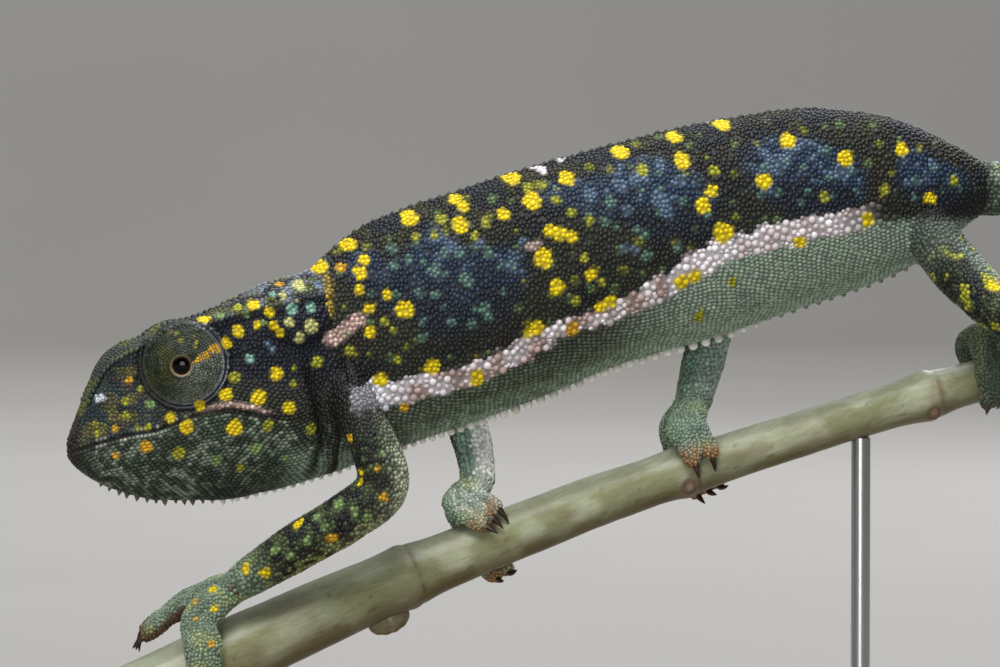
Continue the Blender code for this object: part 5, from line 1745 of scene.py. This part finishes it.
def build_eyeball(side, finish):
    """A glossy dome behind the lids' opening: a black pupil with a thin rim of iris."""
    edge = float(turret_profile(np.array([LID_OPENING + 0.3]))[0])
    sides = 48
    rings, tints = [], []
    for share in np.linspace(0.02, 1.0, 18):
        height = edge - 0.35 - 0.55 * (1 - math.sqrt(max(0.0, 1 - share**2 * 0.85)))
        rings.append(eye_ring(side, height, PUPIL_RADIUS * share, sides))
        tints += [IRIS if 0.93 < share < 0.99 else PUPIL] * sides
    rings = np.array([*rings, eye_ring(side, edge - LID_DEPTH + 0.05, PUPIL_RADIUS, sides)])
    tints += [PUPIL] * sides
    ball = solid(f"eyeball_{side}_clear", rings.reshape(-1, 3), skin_over(rings), finish, tints)
    keep(ball, [f"eyeball_{side}"])


def square_to(vector, tangent):
    return unit(vector - tangent * np.dot(vector, tangent))


def build_claws(finish):
    """Hooked claws that grow out of the ends of the toes, one piece for each bundle."""
    share = np.linspace(0, 1, 12)[:, None]
    radius = CLAW_RADIUS * 1.1 * (1 - share[:, 0] ** 1.5) ** 0.8 + 0.03
    for name, plan in FEET.items():
        line, side = bundle_line(name)
        tangent = frames(line)[0][-1]
        inward = np.array((0.2, 0.0, -1.0)) if "line" in plan else perch_middle(line[-1][0]) - line[-1]
        inward, across = square_to(inward, tangent), square_to(side[-1], tangent)
        points, faces = [], []
        for i in range(plan["toes"]):
            off_middle = i - (plan["toes"] - 1) / 2
            offset = off_middle * plan["spread"] * CLAW_SPREAD
            root = line[-1] - tangent * CLAW_ROOT + offset * across - inward * CLAW_RISE
            bend = CLAW_BEND + CLAW_FAN * off_middle
            path = root + (CLAW_LENGTH + 0.3) * (share * tangent + bend * share**1.6 * inward)
            add_rings(points, faces, tube(path, radius, radius * 0.85, sides=14))
        claws = solid(f"claws_{name}", np.array(points), faces, finish)
        keep(claws, [f"claw_{name}_{i + 1}" for i in range(plan["toes"])])


SCARS = ((30.0, -118.0), (71.0, -128.0))  # where leaves came off: place and turn
TWIG_ROUND = 4.2  # the twig's usual radius, for patterns that go round it
CUT_RINGS = (0.97, 0.90, 0.82, 0.7, 0.58, 0.46, 0.34, 0.22, 0.1)  # rings on the sawn ends, as shares


def scar_reach(x, angle, at, turn):
    """How far a place on the bark is from a leaf scar's middle, in the scar's own lengths."""
    apart = np.radians((angle - turn + 180) % 360 - 180) * TWIG_ROUND
    return np.hypot((x - at + 0.3) / 0.9, apart / 1.2)


def unrolled(x, angle, stretch):
    """A twig's surface with its length shortened, so that noise on it runs along the bark."""
    turn = np.radians(angle)
    return np.stack([x * stretch, TWIG_ROUND * np.cos(turn), TWIG_ROUND * np.sin(turn)], axis=1)


def twig_relief(x, angle):
    """Fine ridges along the bark, and rings and leaf scars at its nodes."""
    lift = 0.04 * (clouds(unrolled(x, angle, 0.12), 0.9, 71) - 0.5)
    lift += 0.05 * (clouds(unrolled(x, angle, 0.5), 0.7, 72) - 0.5)
    lift += 0.30 * (clouds(unrolled(x, angle, 1.0), 7.0, 73) - 0.5)
    for at in PERCH_NODES:
        bent = x - at - 0.5 * np.cos(np.radians(angle + 60))
        lift += 0.16 * bump(bent, 0.9) - 0.12 * bump(bent - 1.3, 0.3)
    for at, turn in SCARS:
        scar = scar_reach(x, angle, at, turn)
        lift += 0.35 * bump(scar - 1.1, 0.35) - 0.2 * bump(scar, 0.6)
    return lift


def twig_colours(x, angle):
    """Green bark with brown patches and specks, a painted sheen on top and painted shade below, and marks at
    its nodes and scars.
    """

    def noise(stretch, size, seed):
        return clouds(unrolled(x, angle, stretch), size, seed)

    upward = np.cos(np.radians(angle))
    colours = layers(
        BARK,
        (BARK_PALE, rise(noise(0.8, 3.4, 75), 0.34, 0.4)),
        (BARK_GREEN, rise(noise(0.15, 1.2, 74), 0.55, 0.25) * 0.12),
        (BARK_BROWN, rise(noise(0.75, 2.6, 77), 0.5, 0.3) * 0.5),
        (BARK_SPECK, rise(noise(0.6, 0.55, 76), 0.86, 0.05) * 0.55),
        # Painted sheen along the top of the twig, and painted shade on its underside.
        (BARK_TOP_SHEEN, rise(upward, 0.35, 0.5) * 0.5),
        (BARK_UNDER_SHADE, rise(upward, -0.1, -0.8) * 0.68),
    )
    broken = rise(noise(1.0, 1.6, 79), 0.4, 0.2)
    for at in PERCH_NODES:
        bent = x - at - 0.5 * np.cos(np.radians(angle + 60))
        ring = bump(bent - 1.2, 0.35) * (0.3 + 0.5 * broken)
        colours = layers(colours, (NODE_DARK, ring), (NODE_PALE, bump(bent + 0.3, 1.3) * 0.45 * broken))
    for at, turn in SCARS:
        scar = scar_reach(x, angle, at, turn)
        colours = layers(colours, (SCAR_RIM, bump(scar - 1.0, 0.4) * 0.8), (SCAR, bump(scar, 0.6) * 0.9))
    return colours


def cut_tint(share):
    """Colour of the twig's sawn end, from its rind at 1 to its pith at 0."""
    if share > 0.9:
        return RIND
    return WOOD * (0.8 + 0.35 * math.sin(share * 40)) if share > 0.15 else PITH


def build_twig(finish):
    """The cut length of twig, with bark, nodes, leaf scars, a bud and sawn ends."""
    xs = np.arange(PERCH_ENDS[0], PERCH_ENDS[1] + 0.01, 0.5)
    angles = np.linspace(0, 360, 60, endpoint=False)
    middles = np.array([perch_middle(x) for x in xs])
    upward = np.array([perch_directions(x)[1] for x in xs])
    out = np.cos(np.radians(angles))[None, :, None] * upward[:, None, :]
    out = out + np.sin(np.radians(angles))[None, :, None] * np.array((0, 1.0, 0))
    radius = np.array([perch_radius(x) for x in xs])
    rings = middles[:, None, :] + out * radius[:, None, None]
    x_all, angle_all = np.repeat(xs, len(angles)), np.tile(angles, len(xs))
    rings = rings + out * twig_relief(x_all, angle_all).reshape(len(xs), -1, 1)
    colours = twig_colours(x_all, angle_all).reshape(len(xs), len(angles), 3)
    cut = [np.tile(cut_tint(share), (len(angles), 1)) for share in CUT_RINGS]
    tints = list(np.concatenate([cut[::-1], colours, cut]).reshape(-1, 3))
    front = [middles[0] + (rings[0] - middles[0]) * share for share in CUT_RINGS]
    rear = [middles[-1] + (rings[-1] - middles[-1]) * share for share in CUT_RINGS]
    points, faces = [], []
    add_rings(points, faces, np.concatenate([front[::-1], rings, rear]))
    middle = round_perch(BUD_PLACE, BUD_TURN, perch_radius(BUD_PLACE) + BUD_LIFT)
    share = np.linspace(-1, 1, 26)
    path = middle + np.outer(share * BUD_RADIUS * BUD_STRETCH, perch_directions(BUD_PLACE)[0])
    size = BUD_RADIUS * np.sqrt(np.clip(1 - share**2, 0.01, 1)) * (1 + 0.03 * np.sin(share * 14))
    bud = tube(path, size, sides=24)
    add_rings(points, faces, bud)
    tints += [BUD * (0.7 + 0.6 * v) for v in clouds(bud.reshape(-1, 3), 0.8, 78)]
    keep(solid("twig", np.array(points), faces, finish, tints), ["perch"])


def turned(profile, count, centre=(0.0, 0.0, 0.0)):
    """Rings round an upright axis, from (radius, height) pairs."""
    rows = [[(r * math.cos(t), r * math.sin(t), z) for t in turns(count)] for r, z in profile]
    return np.array(rows) + centre


def build_rod(name, finish):
    """A turned steel rod with a small shoulder where it meets the base."""
    low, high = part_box(name)
    centre = own(np.array([(low[0] + high[0]) / 2, (low[1] + high[1]) / 2, 0]))
    foot, top = low[2] / MM, high[2] / MM
    radius = (high[0] - low[0]) / 2 / MM
    profile = (
        (0.2, foot), (radius + 1.5, foot), (radius + 1.5, foot + 0.9), (radius + 1.35, foot + 1.15),
        (radius + 0.5, foot + 1.5), (radius + 0.12, foot + 2.1), (radius, foot + 3.0),
        (radius, (foot + top) / 2), (radius, top - 0.2), (radius - 0.2, top), (0.2, top),
    )
    rings = turned(profile, 48, centre)
    rod = solid(f"{name}_turned", rings.reshape(-1, 3), skin_over(rings), finish)
    rod.data.set_sharp_from_angle(angle=math.radians(40))
    keep(rod, [name])


# ---- materials


def finished(name, shader, grain=None, stops=(), wear=(), relief=(), squeeze=(), pores=None, painted=False):
    """A material patterned by noise in the piece's own metres, and the shader's other inputs.

    The noise picks from colour stops, which darken the pigment of a painted piece. It spreads the
    roughness over a range of wear and raises a relief of a strength and a depth, unless finer
    pores do. Rows of a mapping's input and value turn the noise or squeeze it along a grain.
    """
    material = bpy.data.materials.new(name)
    material.use_nodes = True
    tree = material.node_tree
    inputs = dict(shader)
    where = node(tree, "ShaderNodeTexCoord").outputs["Object"] if grain else None
    for key, value in squeeze:
        where = node(tree, "ShaderNodeMapping", {"Vector": where, key: value}).outputs[0]
    if grain:
        noise = node(tree, "ShaderNodeTexNoise", {"Vector": where, **grain}).outputs[0]
    if painted:
        inputs["Base Color"] = node(tree, "ShaderNodeAttribute", attribute_name="pigment").outputs["Color"]
    if stops:
        tint = node(tree, "ShaderNodeValToRGB", {"Fac": noise}, stops).outputs[0]
        both = {0: 1.0, 6: inputs.get("Base Color"), 7: tint}
        if painted:
            tint = node(tree, "ShaderNodeMix", both, data_type="RGBA", blend_type="MULTIPLY").outputs[2]
        inputs["Base Color"] = tint
    if wear:
        values = {"Value": noise, "To Min": wear[0], "To Max": wear[1]}
        inputs["Roughness"] = node(tree, "ShaderNodeMapRange", values).outputs[0]
    if pores:
        noise = node(tree, "ShaderNodeTexNoise", {"Vector": where, **pores}).outputs[0]
    if relief:
        values = {"Height": noise, "Strength": relief[0], "Distance": relief[1]}
        inputs["Normal"] = node(tree, "ShaderNodeBump", values).outputs[0]
    connect(tree, tree.nodes["Principled BSDF"], inputs)
    return material


def reptile_skin():
    """Keratin skin between scales: dry and matt, with fine creases."""
    shader, grain = {"Roughness": 0.68, "IOR": 1.5}, {"Scale": 2600.0, "Detail": 3.0}
    return finished("reptile_skin_creased", shader, grain, relief=(0.5, 0.0001), painted=True)


def scale_keratin():
    """Keratin scales: a soft sheen on each dome, slightly worn and dusty."""
    grain, wear, relief = {"Scale": 5200.0, "Detail": 2.0}, (0.36, 0.62), (0.35, 0.00005)
    return finished("scale_keratin_satin", {"IOR": 1.39}, grain, wear=wear, relief=relief, painted=True)


def wet_cornea():
    """A wet eye: nearly black, with a sharp highlight."""
    shader = {"Roughness": 0.05, "IOR": 1.34, "Specular IOR Level": 0.3}
    return finished("cornea_wet", shader, painted=True)


def claw_horn():
    """Horn of a claw: dark, translucent brown at the root, with faint growth rings."""
    shader, grain = {"Roughness": 0.32, "IOR": 1.54}, {"Scale": 1400.0, "Detail": 2.0}
    return finished("claw_horn_polished", shader, grain, ((0.3, "#1a110c"), (0.75, "#4a3020")))


def twig_bark():
    """Green bark: waxy in places, with fine fibres along it."""
    shader, grain = {"Roughness": 0.36, "IOR": 1.45}, {"Scale": 2200.0, "Detail": 3.0}
    stops = ((0.3, "#e0e0e0"), (0.7, "#ffffff"))
    along = (("Rotation", (0.0, TWIG_SLOPE, 0.0)), ("Scale", (0.25, 1.0, 1.0)))
    relief = (0.15, 0.00008)
    return finished("green_bark_waxy", shader, grain, stops, relief=relief, squeeze=along, painted=True)


def oiled_walnut():
    """Oiled walnut: brown, with darker grain 2 to 3 mm wide along the base."""
    shader, grain = {"Roughness": 0.36, "IOR": 1.5}, {"Scale": 380.0, "Detail": 6.0, "Distortion": 0.6}
    stops = ((0.32, "#2c1a10"), (0.5, "#5a3a22"), (0.68, "#7a5232"))
    along, pores = (("Scale", (0.03, 1.0, 1.0)),), {"Scale": 2600.0, "Detail": 2.0}
    return finished("walnut_oiled", shader, grain, stops, relief=(0.25, 0.0001), squeeze=along, pores=pores)


def turned_steel():
    """Turned steel: fine rings round the rod from the lathe."""
    shader = {"Base Color": (*linear("#b9babc"), 1), "Metallic": 1.0}
    grain, wear, relief = {"Scale": 6000.0, "Detail": 2.0}, (0.22, 0.4), (0.15, 0.00002)
    rings = (("Scale", (0.02, 0.02, 1.0)),)
    return finished("steel_turned", shader, grain, wear=wear, relief=relief, squeeze=rings)


def studio_paper():
    """Matt paper backdrop, pale and even."""
    stops = ((0.3, "#8c8a87"), (0.7, "#908e8b"))
    return finished("backdrop_paper", {"Roughness": 0.9}, {"Scale": 3.0, "Detail": 2.0}, stops)


# ---- stage, light and camera


def build_backdrop():
    """A round seamless sweep: a floor, a wide bend, and a wall all round."""
    bend, reach, height = 1000.0, 2600.0, 4200.0
    profile = [(1.0, 0.0), (400.0, 0.0), (reach, 0.0)]
    for angle in np.linspace(0, math.pi / 2, 20)[1:]:
        profile.append((reach + bend * math.sin(angle), bend - bend * math.cos(angle)))
    profile.append((reach + bend, height))
    rings = turned(profile, 96)
    sweep = mesh_object("backdrop", rings.reshape(-1, 3), skin_over(rings, closed=False))
    sweep.data.flip_normals()
    sweep.data.materials.append(studio_paper())
    sweep.data.shade_smooth()


def add_light(name, at, size, energy, colour, aim=(0.0, 0.0, 0.1)):
    """A round softbox that the camera doesn't see."""
    light = bpy.data.lights.new(name, "AREA")
    light.shape = "DISK"
    light.size = size
    light.energy = energy
    light.color = colour
    lamp = put(name, light)
    lamp.location = at
    lamp.visible_camera = False
    lamp.rotation_euler = (Vector(aim) - Vector(at)).to_track_quat("-Z", "Y").to_euler()


def build_stage():
    build_backdrop()
    add_light("softbox_key", (-0.45, -0.70, 1.15), 0.8, 13.6, (1.0, 0.98, 0.95))
    add_light("softbox_top", (0.10, 0.10, 1.35), 1.0, 14.5, (0.97, 0.98, 1.0))
    add_light("softbox_back", (0.70, 1.00, 0.80), 0.9, 9.0, (0.95, 0.97, 1.0))
    add_light("softbox_fill", (-0.35, -0.95, 0.12), 0.36, 2.6, (1.0, 1.0, 0.98))
    add_light("softbox_wall", (0.0, 1.3, 1.7), 1.4, 42.0, (1.0, 1.0, 1.0), (0.0, 2.7, 0.7))
    bpy.context.scene.view_settings.view_transform = "Standard"  # pigments show as they are
    world = bpy.data.worlds.new("studio")
    world.use_nodes = True
    sky = world.node_tree.nodes["Background"]
    connect(world.node_tree, sky, {"Color": (0.83, 0.85, 0.88, 1), "Strength": 0.6})
    bpy.context.scene.world = world
    camera = bpy.data.cameras.new("camera")
    camera.lens = CAMERA_LENS
    camera.sensor_width = 36.0
    camera.clip_start, camera.clip_end = 0.05, 20.0
    eye = put("camera", camera)
    turn, climb = math.radians(CAMERA_TURN), math.radians(CAMERA_RISE)
    away = Vector((math.sin(turn) * math.cos(climb), -math.cos(turn) * math.cos(climb), math.sin(climb)))
    eye.location = Vector(place(CAMERA_AIM)) + away * CAMERA_DISTANCE
    eye.rotation_euler = (-away).to_track_quat("-Z", "Y").to_euler()
    bpy.context.scene.camera = eye


# ---- the model

build_stage()
source = build_source()
skin = build_skin(source)
surface = Surface(skin.data)
tints, near = ground(surface.points, source)
tints = add_spots(tints, surface.points, source.label[near], np.ones(len(tints)))
paleness = np.clip(2 * tints.mean(axis=1, keepdims=True), 0, 1)
# Painted shade: the skin in the gaps between the scales is painted darker than its colour.
paint(skin.data, tints * (0.42 + 0.26 * paleness))  # the gaps between scales are darker than them
skin.data.materials.clear()
skin.data.materials.append(reptile_skin())
FLESH = [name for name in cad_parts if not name.startswith(("eyeball", "claw", "perch", "stand"))]
keep(skin, FLESH)
build_coat(skin, surface, source, scale_keratin())
cornea, horn, steel = wet_cornea(), claw_horn(), turned_steel()
for side in SIDES:
    build_eyeball(side, cornea)
build_claws(horn)
build_twig(twig_bark())
for name in ("stand_rod_front", "stand_rod_rear"):
    build_rod(name, steel)
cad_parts["stand_base"].data.materials.clear()
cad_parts["stand_base"].data.materials.append(oiled_walnut())
